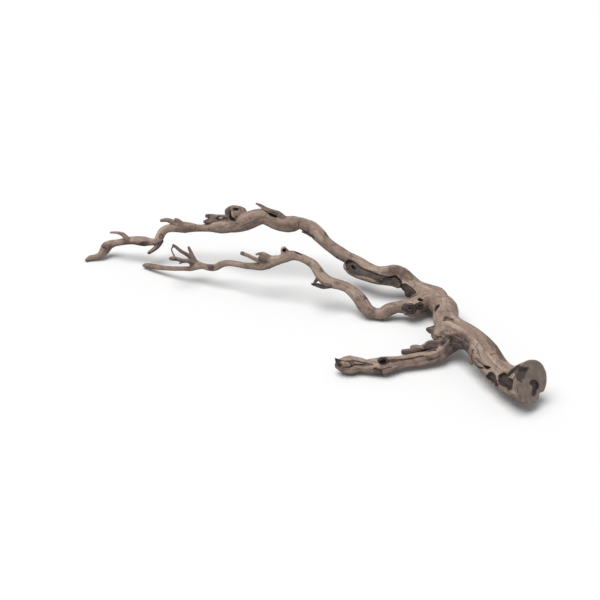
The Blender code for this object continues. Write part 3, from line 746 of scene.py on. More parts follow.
# Side limb: the deep knot hole, the crack running into it, the grooves towards its end, the dark
# rough patch by its spur, the slit under the two shoots and the hollow end with its little ring.
pocket([(377.6, 361.3), (379, 358.8), (382, 357.4), (386, 357.6), (389.3, 359.6), (389.8, 361.6),
        (387.8, 364), (383.8, 365.2), (380, 364.6)], 1.6, wall=1.6, bank=0.6, bark=0.9, rim=0.5, fibre=0.2)
pocket([(379.6, 361), (382, 359), (385.6, 358.8), (387, 361), (385.4, 363.2), (381.8, 363.4)],
       5.5, wall=2, bank=0, bark=1, rim=1, fibre=0.1, wear=0.3)
furrow([(389.5, 360.2, 1.8), (396, 359.8, 2.4), (404, 359.4, 2.4), (412, 358.6, 2.4), (419, 356.6, 2.2),
        (424, 356, 1.8)], 1.3, bank=0.35, dark=0.45)
crack([(389, 362.2, 1.4), (396, 361.4, 1.6), (403, 360.6, 1.2)], 0.9)
ridge([(392, 357.8, 4), (402, 357.4, 4), (411, 356.4, 4)], 0.6)
furrow([(344, 361.2, 1.8), (349, 361.4, 2), (353, 360.4, 2.2), (360, 361.8, 2.6), (367, 363.6, 2.4),
        (373, 364.6, 1.6)], 1.2, bank=0.35, dark=0.45)
furrow([(343.5, 367.4, 1.8), (350, 367.4, 2.2), (352.4, 366.2, 2), (354.6, 364.8, 2.4), (362, 364.7, 2),
        (370, 364.8, 1.4)], 1.2, bank=0.35, dark=0.7)
crack([(348.5, 361.5, 1.4), (351, 363.5, 2), (352.5, 366, 1.6)], 1.0)
pocket([(349.5, 361.6), (353, 361), (354.8, 364), (352.4, 366.8), (349.6, 367), (351, 364)],
       0.8, bank=0, bark=0.5, rim=0.3, wear=0.3)
pocket([(373.6, 368.4), (376.5, 367.6), (381, 369.4), (382.8, 372), (382.6, 375), (379, 374.6),
        (375, 373)], 1.0, wall=1.5, bank=0.2, bark=0.6, rim=0.3, fibre=0.8, wear=0.8)
crack([(382, 369.3, 1.6), (387, 368, 1.8), (392, 367, 1.2)], 0.5)
crack([(373.5, 368, 1.4), (376, 369.5, 1.6), (378, 371.5, 1.2)], 0.8)
crack([(378.5, 369, 1.2), (380.5, 371.5, 1.6), (381.5, 374, 1.6)], 0.9)
pocket([(335.5, 358.6), (338.5, 359.6), (344, 360.8), (340, 362), (338, 366), (336.3, 363)], 1.8,
       wall=1.2, bank=0.2, bark=0.7, rim=0.6, wear=0.3)
ripples([(337.8, 365), (339, 363.2), (341, 363.2), (342.2, 365), (341, 366.8), (339, 366.8)], 1, 0.6, 0.6)
tint([(336, 363), (343, 366), (345, 371), (341, 371.5), (336.5, 367)], "old_bark", 0.6, 1.5)
tint([(424.5, 357.5), (428, 355.5), (432.5, 357), (432, 361), (427, 361.5)], "old_bark", 0.8, 1.2)
crack([(428, 360.3, 1.2), (434, 358.6, 1.4), (440, 355.6, 1.2)], 0.25)
tint([(424, 363), (434, 359.5), (442, 354.5), (440, 361), (430, 366)], "old_bark", 0.5, 2)

# Dead limb: the rotted trough under its pale bank, with the black hole at its far end, the small
# knobs in its bed and the paler lip along its lower edge.
pocket([(345.2, 263), (347.5, 260.4), (351, 260.2), (355, 262), (359, 265), (363.5, 268.3), (369, 270.6),
        (375, 272.9), (381, 275), (387, 276.2), (392.5, 276), (395, 275), (398.5, 277.6), (401.6, 281.5),
        (401, 284.6), (396, 285.6), (391, 284.2), (386, 283.2), (380, 283.4), (376, 280.8), (370, 277.8),
        (363, 276), (356, 275.2), (350.5, 272.6), (347, 268.6)], 2.2, wall=2.2, bank=0.4, bark=0.78,
       rim=0.9, fibre=0.5, wear=0.3)
pocket([(350.6, 265.4), (352.6, 264.9), (354, 266.4), (355.4, 268.8), (353.4, 269), (351.6, 267.6)], 4,
       wall=1.2, bank=0, bark=1, rim=1, wear=0.1)
pocket([(383.5, 277.4), (388, 277), (392, 277.4), (391.6, 280.6), (387, 281.4), (383, 280.8)], 1.2,
       wall=1.2, bank=0.2, bark=0.9, rim=0.5)
ridge([(393.4, 279, 4)], 1.6)
ridge([(378.5, 277.6, 4), (380.5, 279.5, 4)], 1.0)
ridge([(357, 277, 4), (366, 278.8, 4), (375, 281.8, 4)], 0.8)
furrow([(396, 277, 2), (399.5, 280.5, 2.6), (401.5, 284, 2)], 1.2, bank=0.2, dark=0.8)

# Far limb: the slit and crease by the spear, the two holes of the knob, the dark bark on its
# edges, the healed scar at the bend, the weathered knuckles near the tip.
pocket([(268.5, 213), (271, 213.6), (274, 214.8), (276.6, 216), (276.2, 217.4), (272.8, 216.8),
        (270, 215.4)], 4.0, wall=1.2, bank=0.3, bark=0.95, rim=1, wear=0.1)
crack([(261.5, 208.4, 1.4), (265, 211, 1.8), (269.5, 213.6, 2)], 1.0)
crack([(268, 210.8, 1.2), (273, 212.4, 1.4), (278, 214.4, 1.2)], 0.7)
tint([(270, 208), (278, 208.5), (285, 213), (285, 217), (278, 215), (271, 211.5)], "old_bark", 0.45, 1.2)
pocket([(233, 208.8), (234.8, 208.1), (238, 208.4), (238.7, 209.6), (237.2, 210.6), (234.4, 210.3)], 2.6,
       wall=1, bank=0.4, bark=0.85, rim=0.7, wear=0.2)
crack([(239.5, 207.5, 1.2), (240.5, 209.5, 1.4)], 0.8)
furrow([(229.6, 210.5, 1.8), (230.6, 213.5, 2.4), (232, 217, 2.6)], 1.2, bank=0.3, dark=0.6)
pocket([(230, 214.5), (231.6, 216.6), (236, 219.8), (234.6, 221), (231.4, 220.6), (229, 218.4)], 2.0,
       wall=1.4, bank=0.1, bark=0.8, rim=0.6, wear=0.3)
tint([(225.4, 214), (225.6, 210.5), (228, 207.5), (230.5, 207), (229.6, 211), (230, 215)], "old_bark", 0.8, 1)
# Painted shade: a dark spot where the gap between the forked shoot's prongs is closed.
tint([(216, 216.4), (219, 215.9), (221.4, 217.6), (219, 219), (216.4, 218.4)], "hollow", 0.9, 0.8)
tint([(203, 222), (205, 218.6), (209, 217), (209.5, 220.5), (206, 224)], "old_bark", 0.9, 1)
tint([(205, 215.5), (207, 212.8), (211, 213.4), (210, 216.6)], "old_bark", 0.9, 1)
tint([(302, 230), (308, 231.5), (314, 236), (314, 239.5), (308, 237.5), (303, 233.5)], "old_bark", 0.95, 0.9)
crack([(304, 231.6, 1.2), (309, 234, 1.8), (314, 238, 1.4)], 1.0)
tint([(324.5, 229.5), (327.6, 232), (328.4, 237), (325.4, 236)], "old_bark", 0.95, 0.9)
tint([(333, 253.5), (338, 257), (343.6, 260.6), (342, 263.5), (336, 260)], "old_bark", 1.0, 0.9)
tint([(248, 217), (258, 213.5), (267, 217), (262, 224.5), (250, 227)], "stain", 0.1, 4)
tint([(284, 219), (292, 224), (303, 228), (301, 233), (290, 234), (283, 227)], "stain", 0.2, 4)
tint([(300, 226), (307, 232), (303, 237), (297, 235)], "stain", 0.4, 2)
pocket([(159, 235.6), (161, 233.6), (163, 235), (163.2, 238), (161, 239.4), (159.2, 238)], 0.7, wall=1,
       bank=0.5, bark=0.4, rim=0.3, fibre=0.3)
tint([(146.4, 255), (150, 249.5), (155, 245.5), (159, 242), (162, 244), (158, 249), (152, 254.5),
      (148.4, 257)], "old_bark", 1.0, 0.8)
tint([(140, 242), (146, 241), (149, 243.5), (146, 246.5), (141, 246)], "hollow", 0.7, 1.4)
pocket([(141, 242.5), (145, 241.5), (148, 243.5), (145, 245.5), (142, 245)], 0.9, bank=0.2, bark=0.6, rim=0.4)
tint([(122, 241), (130, 241.5), (140, 243), (147, 245), (140, 247.5), (128, 246.5)], "old_bark", 0.8, 1.5)
tint([(100, 244), (105, 242), (111, 244.5), (112, 251), (108, 253.5), (102, 249)], "old_bark", 0.6, 2.5)
furrow([(102.5, 246.5, 3), (105.5, 248.5, 3)], 0.8, bank=0.3, dark=0.7, wear=0.4)
tint([(181.5, 226), (187, 225.5), (192, 227), (191.5, 232), (184, 232)], "stain", 0.5, 3)

# Near limb: the open socket, the dark end of the peg, the hook's dark edge, and small spots of
# bark that the blasting missed.
pocket([(282.4, 250.4), (283.4, 248.8), (285.4, 248.8), (286.4, 250.2), (285.2, 251.8), (283.2, 251.8)], 3.6,
       wall=1, bank=0.5, bark=1, rim=1, wear=0.1)
crack([(286.5, 248.6, 1.4), (292, 250.6, 1.6), (297, 252.6, 2.2), (302, 255, 1.6)], 1.0)
tint([(294.6, 251), (299, 251.6), (301.5, 254.4), (297, 254)], "old_bark", 1.0, 0.8)
tint([(240, 251), (243.6, 251), (244.4, 254.5), (242.4, 256.8), (239.6, 255)], "hollow", 0.85, 0.8)
tint([(256.5, 256), (262, 255), (266, 258), (265.5, 262.5), (258.5, 261.5)], "old_bark", 0.7, 1.2)
tint([(310.5, 284), (316, 279), (321, 283.6), (329.5, 288.5), (322, 290), (314, 288)], "old_bark", 1.0, 0.8)
crack([(313, 284.4, 1.6), (318, 284.6, 2), (324, 286.4, 2), (329, 288.6, 1.4)], 1.2)
tint([(319, 285.6), (323, 285.2), (327, 287.8), (323.5, 288.6)], "hollow", 0.3, 0.8)
tint([(312, 257.6), (315.4, 259), (317.2, 263.6), (314, 262)], "old_bark", 0.9, 0.8)
tint([(320, 267.6), (323, 268.4), (323.4, 271.6), (320.4, 271)], "old_bark", 0.8, 0.8)
tint([(362.6, 295.6), (365.4, 295.2), (367, 298.6), (364.6, 299.6)], "hollow", 0.8, 0.8)
tint([(207, 265.4), (211, 264.4), (214.5, 267), (213, 271), (208.5, 271)], "stain", 1.0, 1)
tint([(208, 268), (210, 266), (212, 269), (210, 271)], "old_bark", 0.9, 0.8)
tint([(183, 259.4), (190, 260), (196, 263.5), (190, 266.8), (184, 264)], "old_bark", 0.6, 1.2)
crack([(185, 264.2, 1.6), (188, 264.5, 2), (191.5, 264.6, 1.4)], 1.0)
tint([(144, 262), (150, 262), (158, 264), (150, 268.5), (144, 268)], "stain", 0.5, 2)
tint([(334, 284), (352, 286), (372, 300), (388, 316), (402, 312), (404, 304), (388, 300), (366, 288),
      (345, 276)], "stain", 0.3, 5)

# Sawn end: two rotted patches sunk in the saw's own flat.
# The flat is where the wood lies close to the plane of the cut and faces along it.
SAWN_FLAT = 0.45
sawn = smooth(-SAWN_FLAT, -0.05, wood["beyond"]) * smooth(0.75, 0.92, skin_facings @ SAW_CUT_FACES)
pocket([(514.6, 371), (516.5, 366), (520, 364.4), (523, 366.6), (528.2, 367), (528.6, 370.5), (525.6, 374),
        (524.6, 378.5), (522, 379.6), (521.3, 382.4), (519, 381.4), (515.8, 379)], 0.8, wall=2, bank=0,
       bark=0.7, rim=0.2, fibre=0.2)
pocket([(519, 366.5), (524, 367.4), (528, 368), (527, 371), (522, 372), (518.4, 370)], 0.5,
       bank=0, bark=0.9, rim=0)
pocket([(529.6, 381.6), (533, 379.4), (537, 380.6), (539, 384.5), (539, 389), (537.4, 393.4), (535, 396.3),
        (532.4, 396), (532, 391), (532.4, 386.6), (530, 384.4)], 1.2, wall=1.6, bank=0.1, bark=0.85, rim=0.5,
       fibre=0.3)
pocket([(536.6, 381.4), (538.8, 384.6), (538.8, 389.4), (536.8, 392), (536.4, 387)], 0.8,
       bank=0, bark=1, rim=0.4)

# The rim of the cut is broken away low on its near side.
# The wood there is pulled in toward the pith, and the saw's flat reaches the left of the face.
BITE_BEARING = 0.93
BITE_WIDTH = 0.2
BITE_DEPTH = 0.2
FACE_REACH = 45
around = skin_points - stem["middles"][0]
from_pith = np.linalg.norm(around, axis=1)
turned = skin_seen - STEM[0][:2]
bearing = np.arctan2(turned[:, 1], turned[:, 0])
bite = np.exp(-((bearing - BITE_BEARING) / BITE_WIDTH) ** 2) * (from_pith < FACE_REACH)
bite = bite * smooth(-20, -6, wood["beyond"]) * smooth(8, 20, from_pith)
inward = around - SAW_CUT_FACES * (around @ SAW_CUT_FACES)[:, None]
shift -= inward * (BITE_DEPTH * bite)[:, None]
worn_edge, reach = inside_outline([(513.4, 380), (515, 375.5), (520, 372), (522, 382), (521, 396),
                                   (519, 400.5), (516.6, 396), (514, 390), (513, 385)])
marks_on_wood["sawn"] = sawn
mark("sawn", worn_edge, smooth(-0.6, 0.4, reach))
marks_on_wood["girth"] = wood["girth"]
marks_on_wood["fork"] = 1 - smooth(0, 3.5, wood["next"] - wood["best"])

move_points(wood_mesh, skin_points + shift)
for name, values in marks_on_wood.items():
    store(wood_mesh, name, values)
store(wood_mesh, "place", wood["place"])

# The grain.
# Blasting cuts the soft summer wood away from the hard: fine ridges run with the limb, the surface
# heaves slowly between knots, checks open along the grain, and the old bark stays shaggy.


def put(tree, kind, settings=(), inputs=()):
    """Add a node with its settings, and link or set its inputs by name or number."""
    node = tree.nodes.new(kind)
    for name, value in dict(settings).items():
        setattr(node, name, value)
    for key, value in dict(inputs).items():
        if isinstance(value, bpy.types.NodeSocket):
            tree.links.new(value, node.inputs[key])
        else:
            node.inputs[key].default_value = value
    return node


def figure(tree, operation, *values, kind="ShaderNodeMath"):
    """One step of arithmetic on sockets or numbers."""
    return put(tree, kind, {"operation": operation}, dict(enumerate(values))).outputs[0]


relief = bpy.data.node_groups.new("blasted grain", "GeometryNodeTree")
relief.interface.new_socket("Geometry", in_out="INPUT", socket_type="NodeSocketGeometry")
relief.interface.new_socket("Geometry", in_out="OUTPUT", socket_type="NodeSocketGeometry")
GRAIN_INPUTS = {
    "Heave mm": 0.8, "Heave Run mm": 24.0, "Heave Width mm": 9.0,
    "Ridge mm": 0.4, "Ridge Run mm": 34.0, "Ridge Width mm": 2.6,
    "Check mm": 0.5, "Stipple mm": 0.16, "Shag mm": 0.45,
}
for name, value in GRAIN_INPUTS.items():
    socket = relief.interface.new_socket(name, in_out="INPUT", socket_type="NodeSocketFloat")
    socket.default_value = value
given = put(relief, "NodeGroupInput").outputs
attribute = {}
for name, kind in (("girth", "FLOAT"), ("fork", "FLOAT"), ("old_bark", "FLOAT"), ("hollow", "FLOAT"),
                   ("sawn", "FLOAT"), ("place", "FLOAT_VECTOR")):
    attribute[name] = put(relief, "GeometryNodeInputNamedAttribute", {"data_type": kind},
                          {"Name": name}).outputs[0]


def product(first, *others):
    """Sockets or numbers multiplied together."""
    for value in others:
        first = figure(relief, "MULTIPLY", first, value)
    return first


def drawn_out(run, width, seed):
    """Noise about nought, drawn out along the grain from the straightened place in the wood."""
    across = figure(relief, "DIVIDE", 1.0, width)
    scale = put(relief, "ShaderNodeCombineXYZ", (),
                {0: figure(relief, "DIVIDE", 1.0, run), 1: across, 2: across}).outputs[0]
    spot = figure(relief, "MULTIPLY", attribute["place"], scale, kind="ShaderNodeVectorMath")
    noise = put(relief, "ShaderNodeTexNoise", {"noise_dimensions": "4D"},
                {"Vector": spot, "W": seed, "Scale": 1.0, "Detail": 2.5, "Roughness": 0.5}).outputs[0]
    return figure(relief, "SUBTRACT", noise, 0.5)


STOUT_GIRTH = 11.0
CHECK_HALF_WIDTH = 0.02
stout = figure(relief, "MINIMUM", figure(relief, "DIVIDE", attribute["girth"], STOUT_GIRTH), 1.0)
bare = figure(relief, "SUBTRACT", 1.0, product(attribute["fork"], 0.6))
uncut = figure(relief, "SUBTRACT", 1.0, attribute["sawn"])
heave = product(drawn_out(given["Heave Run mm"], given["Heave Width mm"], 3.0), given["Heave mm"], stout)
ridges = product(drawn_out(given["Ridge Run mm"], given["Ridge Width mm"], 11.0), given["Ridge mm"],
                 2.0, figure(relief, "ADD", stout, 0.25))
closed = figure(relief, "DIVIDE", figure(relief, "ABSOLUTE", drawn_out(46.0, 5.5, 21.0)), CHECK_HALF_WIDTH)
where = figure(relief, "MAXIMUM", product(drawn_out(30.0, 14.0, 27.0), 6.0), 0.0)
opened = product(figure(relief, "SUBTRACT", 1.0, figure(relief, "MINIMUM", closed, 1.0)),
                 figure(relief, "MINIMUM", where, 1.0))
checks = product(opened, given["Check mm"], product(stout, -1.0))
stipple = product(drawn_out(2.2, 1.5, 33.0), given["Stipple mm"])
shaggy = figure(relief, "MAXIMUM", attribute["old_bark"], attribute["hollow"])
shag = product(drawn_out(9.0, 1.7, 41.0), given["Shag mm"], 2.0, shaggy)
loose = figure(relief, "ADD", checks, figure(relief, "ADD", stipple, shag))
fine = product(figure(relief, "ADD", ridges, loose), bare)
total = product(figure(relief, "ADD", heave, fine), uncut)
facing = put(relief, "GeometryNodeInputNormal").outputs[0]
offset = put(relief, "ShaderNodeVectorMath", {"operation": "SCALE"},
             {0: facing, "Scale": product(total, 0.001)}).outputs[0]
stored = given["Geometry"]
for name, value in (("relief", fine), ("check", opened)):
    stored = put(relief, "GeometryNodeStoreNamedAttribute", {"data_type": "FLOAT", "domain": "POINT"},
                 {"Geometry": stored, "Name": name, "Value": value}).outputs[0]
shaped = put(relief, "GeometryNodeSetPosition", (), {"Geometry": stored, "Offset": offset}).outputs[0]
real = put(relief, "GeometryNodeRealizeInstances", (), {"Geometry": shaped}).outputs[0]

# Sandblasted grapevine wood.
# Grapevine stripped of its bark by a jet of grit: matt, open-pored and dry, tan with a little
# pink, darker in the soft lines between the hard ones, and brown where old bark is left. A painted
# highlight lies on the ridges of the relief, and painted shade in its low lines, in its low places
# and on the underside.


def screen_colour(text):
    """A colour as a screen shows it, turned to the linear values that a shader takes."""
    parts = [int(text[k:k + 2], 16) / 255 for k in (0, 2, 4)]
    return (*(p / 12.92 if p <= 0.04045 else ((p + 0.055) / 1.055) ** 2.4 for p in parts), 1)


def blend_of(tree, factor, low, high):
    """One colour turning to another as the factor rises."""
    colours = [screen_colour(c) if isinstance(c, str) else c for c in (low, high)]
    return put(tree, "ShaderNodeMix", {"data_type": "RGBA"},
               {0: factor, 6: colours[0], 7: colours[1]}).outputs[2]


def rise(tree, value, low, high, most=1.0):
    """A value's share of the way from low to high, times the most that it may give."""
    return put(tree, "ShaderNodeMapRange", {"interpolation_type": "SMOOTHSTEP"},
               {0: value, 1: low, 2: high, 3: 0.0, 4: most}).outputs[0]


def wood_marks(tree):
    """The marks kept on the wood's points, each ready to link."""
    found = {}
    for name in ("relief", "check", "hollow", "stain", "crack", "old_bark", "cavity_dirt_and_shade", "painted_underside_shade"):
        found[name] = put(tree, "ShaderNodeAttribute", {"attribute_name": name}).outputs["Fac"]
    found["place"] = put(tree, "ShaderNodeAttribute", {"attribute_name": "place"}).outputs["Vector"]
    return found


def fibre(tree, place, run, width, seed, detail=3.0):
    """Noise drawn out along the grain, for colour."""
    spot = figure(tree, "MULTIPLY", place, (1 / run, 1 / width, 1 / width), kind="ShaderNodeVectorMath")
    return put(tree, "ShaderNodeTexNoise", {"noise_dimensions": "4D"},
               {"Vector": spot, "W": seed, "Scale": 1.0, "Detail": detail, "Roughness": 0.55}).outputs[0]


def speckle(tree, scale, detail):
    """Noise that runs the same way in all directions, for colour."""
    spot = put(tree, "ShaderNodeTexCoord").outputs["Object"]
    return put(tree, "ShaderNodeTexNoise", (), {"Vector": spot, "Scale": scale, "Detail": detail}).outputs[0]


def matt(name, roughness, gloss):
    """A matt finish: its material, its tree and the inputs of its shader."""
    material = bpy.data.materials.new(name)
    material.use_nodes = True
    takes = material.node_tree.nodes["Principled BSDF"].inputs
    takes["Roughness"].default_value = roughness
    takes["Specular IOR Level"].default_value = gloss
    return material, material.node_tree, takes


def rub_down(tree, takes, colour, height, strength, depth):
    """Give a wood its colour and a fine rub of bumps, as deep as the depth in metres."""
    rub = put(tree, "ShaderNodeBump", (), {"Strength": strength, "Distance": depth, "Height": height})
    tree.links.new(colour, takes["Base Color"])
    tree.links.new(rub.outputs[0], takes["Normal"])


blasted, tree, takes = matt("sandblasted grapevine wood", 0.82, 0.3)
on = wood_marks(tree)
bands = fibre(tree, on["place"], 60.0, 5.5, 2.0)
lines = fibre(tree, on["place"], 22.0, 1.5, 5.0)
threads = fibre(tree, on["place"], 9.0, 0.7, 7.0, 2.0)
pores = fibre(tree, on["place"], 2.6, 1.0, 9.0, 1.0)
cloud = speckle(tree, 28.0, 3.0)
mottle = speckle(tree, 120.0, 4.0)
colour = blend_of(tree, rise(tree, bands, 0.36, 0.66), "AC9888", "867368")
# In this list the ridges of the relief get a painted highlight and its low lines painted shade, the low
# places get painted shade along with their dirt, and the underside gets painted shade.
for level, low, high, most, shade in (
        (cloud, 0.42, 0.62, 0.6, "8C766B"), (mottle, 0.5, 0.66, 0.5, "5F5049"),
        (lines, 0.48, 0.72, 0.6, "51443E"), (pores, 0.58, 0.7, 0.6, "463A36"),
        (on["relief"], 0.04, 0.3, 0.5, "BEA999"), (on["relief"], -0.03, -0.4, 0.6, "4A3E39"),
        (on["cavity_dirt_and_shade"], 0.05, 0.6, 0.7, "352C2A"), (on["painted_underside_shade"], 0.0, 1.0, 0.6, "41383A")):
    colour = blend_of(tree, rise(tree, level, low, high, most), colour, shade)
stained = blend_of(tree, rise(tree, lines, 0.35, 0.65), "4C3C39", "5D4A43")
colour = blend_of(tree, on["stain"], colour, stained)
barky = blend_of(tree, rise(tree, lines, 0.38, 0.64), "5C4F4A", "332A2C")
patchy = figure(tree, "MULTIPLY", on["old_bark"], rise(tree, bands, 0.22, 0.5))
colour = blend_of(tree, patchy, colour, barky)
bed = blend_of(tree, rise(tree, threads, 0.4, 0.62), "4A403F", "1C1718")
colour = blend_of(tree, on["hollow"], colour, bed)
split = figure(tree, "MAXIMUM", on["crack"], rise(tree, on["check"], 0.2, 0.9, 0.75))
colour = blend_of(tree, split, colour, "1E1819")
rub_down(tree, takes, colour, figure(tree, "ADD", threads, pores), 0.45, 0.0005)

# Weathered sawn end grain.
# The vine was cut from its stock with a coarse saw and the cut has greyed: dull tan-grey, with
# faint growth rings, the wide rays of grapevine running out from the pith and rotted patches.
sawn_end, tree, takes = matt("weathered sawn end grain", 0.85, 0.3)
on = wood_marks(tree)
_, across, down = put(tree, "ShaderNodeSeparateXYZ", (), {0: on["place"]}).outputs
warp = speckle(tree, 110.0, 3.0)
speck = speckle(tree, 900.0, 2.0)
spoke = put(tree, "ShaderNodeCombineXYZ", (), {0: 0.0, 1: across, 2: down}).outputs[0]
radius = put(tree, "ShaderNodeVectorMath", {"operation": "LENGTH"}, {0: spoke}).outputs["Value"]
bent = figure(tree, "MULTIPLY_ADD", warp, 6.0, radius)
ring = figure(tree, "SINE", figure(tree, "MULTIPLY", bent, 2.6))
angle = figure(tree, "ARCTAN2", across, down)
bearing = put(tree, "ShaderNodeCombineXYZ", (), {0: angle, 1: 0.0, 2: 0.0}).outputs[0]
rays = put(tree, "ShaderNodeTexNoise", (), {"Vector": bearing, "Scale": 16.0, "Detail": 4.0}).outputs[0]
colour = blend_of(tree, rise(tree, warp, 0.35, 0.65), "897B71", "766960")
for level, low, high, shade in ((ring, -0.2, 1.0, "655952"), (rays, 0.52, 0.68, "5C504A"),
                                (speck, 0.55, 0.7, "4A403C")):
    colour = blend_of(tree, rise(tree, level, low, high, 0.3), colour, shade)
rotted = blend_of(tree, rise(tree, speck, 0.4, 0.6), "3A3032", "1E191A")
colour = blend_of(tree, on["hollow"], colour, rotted)
rub_down(tree, takes, colour, figure(tree, "ADD", speck, ring), 0.35, 0.0003)

# Blasting the grown body.
# The grain is cut into it, it becomes a plain mesh, and no ridge is let past the solids' box.
finished = put(relief, "GeometryNodeSetMaterial", (), {"Geometry": real, "Material": blasted}).outputs[0]
put(relief, "NodeGroupOutput", (), {0: finished})
grain = body.modifiers.new("grain", "NODES")
grain.node_group = relief
for socket in relief.interface.items_tree:
    if socket.in_out == "INPUT" and socket.name in GRAIN_INPUTS:
        grain[socket.identifier] = GRAIN_INPUTS[socket.name]
graph = bpy.context.evaluated_depsgraph_get()
grained = bpy.data.meshes.new_from_object(body.evaluated_get(graph))
body.modifiers.clear()
body.data = grained
EDGE_SPARE = 0.05
grained_points = np.clip(points_of(grained), np.array(cad_low) * 1000 + EDGE_SPARE,
                         np.array(cad_high) * 1000 - EDGE_SPARE)
move_points(grained, grained_points)

# Dirt and old bark stay in the low places, which also get painted shade, and the underside is
# darkened with painted shade. Each point is measured against its smoothed neighbours, and by how
# far it faces the ground.
ends = read_each(grained.edges, "vertices", 2, np.int32)
neighbours = np.bincount(ends.ravel(), minlength=len(grained_points))
SMOOTHINGS = 14
HELD_BACK = 0.3
smoothed = grained_points.copy()
for turn in range(SMOOTHINGS):
    for axis in range(3):
        total = np.bincount(ends[:, 0], smoothed[ends[:, 1], axis], len(neighbours))
        total += np.bincount(ends[:, 1], smoothed[ends[:, 0], axis], len(neighbours))
        smoothed[:, axis] = HELD_BACK * smoothed[:, axis] + (1 - HELD_BACK) * total / neighbours
# Painted shade with dirt in the low places: how deep each point lies among its neighbours.
cavity_dirt_and_shade = ((smoothed - grained_points) * facings_of(grained)).sum(1)
# Painted shade: how far each point faces the ground, to darken the underside.
painted_underside_shade = smooth(-0.15, 0.85, -facings_of(grained)[:, 2])
store(grained, "cavity_dirt_and_shade", cavity_dirt_and_shade)
store(grained, "painted_underside_shade", painted_underside_shade)

# Parting at the main forks.
# The body is cut where the solids are, so each piece stands for the node of its own name.
SEAMS = [(stem, CROWN_STARTS), (stem, BACK_LIMB_STARTS), (near, FRONT_LIMB_STARTS),
         (tail, FRONT_TAIL_STARTS), (side, SIDE_LIMB_STARTS)]
PARTED = {"stem": ("trunk_butt", "trunk_crown", "back_limb"), "near": ("trunk_crown", "front_limb"),
          "tail": ("front_limb", "front_tail"), "side": ("trunk_crown", "side_limb")}
NODES = ("trunk_butt", "trunk_crown", "side_limb", "back_limb", "front_limb", "front_tail")
CUT_REACH = 1.7
SEAM_REACH = 1.65
STRAY_SHARE = 0.5
SAWN_SHARE = 0.55

cut = bmesh.new()
cut.from_mesh(grained)
for limb, mark in SEAMS:
    ring = limb["marks"][mark]
    centre = Vector(limb["middles"][ring] / 1000)
    reach = limb["radii"][ring] * CUT_REACH / 1000
    faces = [face for face in cut.faces if (face.calc_center_median() - centre).length < reach]
    edges = {edge for face in faces for edge in face.edges}
    points = {point for face in faces for point in face.verts}
    bmesh.ops.bisect_plane(cut, geom=[*points, *edges, *faces], dist=1e-5, plane_co=centre,
                           plane_no=Vector(limb["headings"][ring]))
parted = bpy.data.meshes.new("parted")
cut.to_mesh(parted)
cut.free()
middles = read_each(parted.polygons, "center", 3).astype(float) * 1000
wood = read_wood(middles)
owner = np.zeros(len(middles), int)
for index, limb in enumerate(limbs):
    held = np.flatnonzero(wood["limb"] == index)
    if limb["node"] in NODES:
        owner[held] = NODES.index(limb["node"])
        continue
    order = np.zeros(len(held), int)
    for seam_limb, mark in SEAMS:
        if seam_limb is not limb:
            continue
        ring = limb["marks"][mark]
        offset = middles[held] - limb["middles"][ring]
        past = wood["along"][held] > limb["along"][ring]
        close = np.linalg.norm(offset, axis=1) < limb["radii"][ring] * SEAM_REACH
        past[close] = offset[close] @ limb["headings"][ring] > 0
        order += past
    owner[held] = np.array([NODES.index(name) for name in PARTED[limb["node"]]])[order]


def tidy_owners(mesh, owner):
    """Give each small stray patch of faces to the piece that lies round it."""
    faces_of = np.full((len(mesh.edges), 2), -1)
    edge_of = read_each(mesh.loops, "edge_index", kind=np.int32)
    sizes = read_each(mesh.polygons, "loop_total", kind=np.int32)
    face_of = np.repeat(np.arange(len(sizes)), sizes)
    order = np.argsort(edge_of, kind="stable")
    first = np.searchsorted(edge_of[order], np.arange(len(mesh.edges)))
    faces_of[:, 0] = face_of[order][first]
    faces_of[:, 1] = face_of[order][np.minimum(first + 1, len(order) - 1)]
    label = np.arange(len(sizes))
    same = faces_of[owner[faces_of[:, 0]] == owner[faces_of[:, 1]]]
    while True:
        low = np.minimum(label[same[:, 0]], label[same[:, 1]])
        fresh = label.copy()
        np.minimum.at(fresh, same[:, 0], low)
        np.minimum.at(fresh, same[:, 1], low)
        np.minimum.at(fresh, label[same[:, 0]], low)
        np.minimum.at(fresh, label[same[:, 1]], low)
        fresh = fresh[fresh]
        if (fresh == label).all():
            break
        label = fresh
    size = np.bincount(label, minlength=len(label))[label]
    largest = np.array([size[owner == k].max() for k in range(len(NODES))])
    for turn in range(40):
        stray = size < largest[owner] * STRAY_SHARE
        if not stray.any():
            break
        for lost, sound in ((0, 1), (1, 0)):
            edge = faces_of[stray[faces_of[:, lost]] & ~stray[faces_of[:, sound]]]
            owner[edge[:, lost]] = owner[edge[:, sound]]
            size[edge[:, lost]] = size[edge[:, sound]]


tidy_owners(parted, owner)
store(parted, "facing", facings_of(parted))


def close_cuts(form):
    """Close each open loop that the parting left with a flat face inside the wood."""
    follows = {}
    for face in form.faces:
        for corner in face.loops:
            if corner.edge.is_boundary:
                follows.setdefault(corner.link_loop_next.vert, []).append(corner.vert)
    caps = []
    while follows:
        start = next(iter(follows))
        loop = [start]
        here = start
        while True:
            choices = follows[here]
            there = choices.pop()
            if not choices:
                del follows[here]
            if there is start or there not in follows:
                break
            if there in loop:
                turn = loop.index(there)
                if len(loop) - turn >= 3:
                    caps.append(form.faces.new(loop[turn:]))
                loop = loop[:turn]
            loop.append(there)
            here = there
        if len(loop) >= 3:
            caps.append(form.faces.new(loop))
    bmesh.ops.triangulate(form, faces=caps, ngon_method="EAR_CLIP")


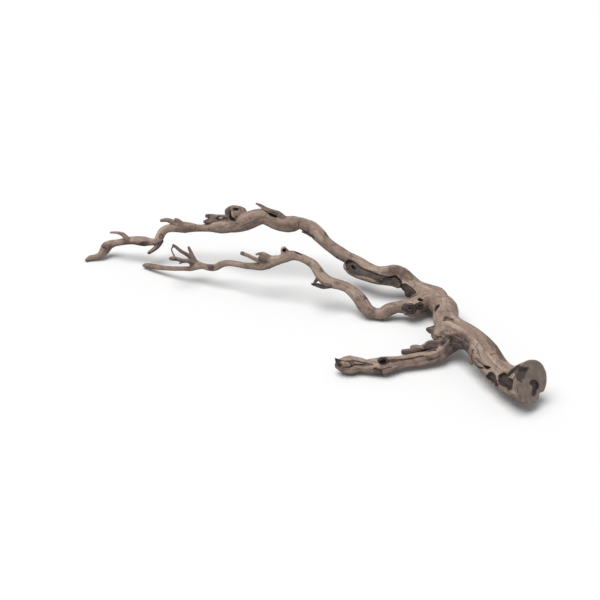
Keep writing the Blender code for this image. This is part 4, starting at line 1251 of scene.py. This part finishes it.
for index, node in enumerate(NODES):
    form = bmesh.new()
    form.from_mesh(parted)
    form.faces.ensure_lookup_table()
    bmesh.ops.delete(form, geom=[form.faces[k] for k in np.flatnonzero(owner != index)], context="FACES")
    kept = len(form.faces)
    close_cuts(form)
    mesh = bpy.data.meshes.new(node + "_wood")
    form.to_mesh(mesh)
    form.free()
    mesh.materials.append(blasted)
    mesh.polygons.foreach_set("use_smooth", np.ones(len(mesh.polygons), bool))
    facing = read_each(mesh.attributes["facing"].data, "vector", 3)
    mesh.attributes.remove(mesh.attributes["facing"])
    corner_facing = facing[read_each(mesh.loops, "vertex_index", kind=np.int32)]
    for face in list(mesh.polygons)[kept:]:
        corner_facing[face.loop_indices] = face.normal
    if node == "trunk_butt":
        mesh.materials.append(sawn_end)
        level = read_each(mesh.attributes["sawn"].data, "value")
        for face in mesh.polygons:
            if level[list(face.vertices)].mean() > SAWN_SHARE:
                face.material_index = 1
    mesh.normals_split_custom_set(corner_facing.tolist())
    piece = add_object(node + "_wood", mesh)
    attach(piece, "root")
    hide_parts(node)
bpy.data.objects.remove(body)

# The plain floor and the soft studio light.
# A wide white sheet of paper under one broad soft skylight, with light from all round.
FLOOR_HALF = 8
low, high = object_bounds()
floor_mesh = bpy.data.meshes.new("floor")
floor_mesh.from_pydata([(FLOOR_HALF * x, FLOOR_HALF * y, low[2])
                        for x, y in ((-1, -1), (1, -1), (1, 1), (-1, 1))], [], [(0, 1, 2, 3)])
floor = add_object("floor", floor_mesh)
paper, _, takes = matt("white paper", 0.9, 0.1)
takes["Base Color"].default_value = screen_colour("E2E2E2")
floor_mesh.materials.append(paper)
floor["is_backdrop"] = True

SKYLIGHT_FROM = Vector((-0.30, -0.30, 1.3))
lamp = bpy.data.lights.new("skylight", "SUN")
lamp.energy = 3.0
lamp.angle = math.radians(50)
holder = add_object("skylight", lamp)
holder.rotation_mode = "QUATERNION"
holder.rotation_quaternion = SKYLIGHT_FROM.to_track_quat("Z", "Y")
world = bpy.data.worlds.new("studio")
bpy.context.scene.world = world
world.use_nodes = True
world.node_tree.nodes["Background"].inputs["Color"].default_value = (1, 1, 1, 1)
world.node_tree.nodes["Background"].inputs["Strength"].default_value = 0.42
bpy.context.scene.view_settings.view_transform = "Standard"

low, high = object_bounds()
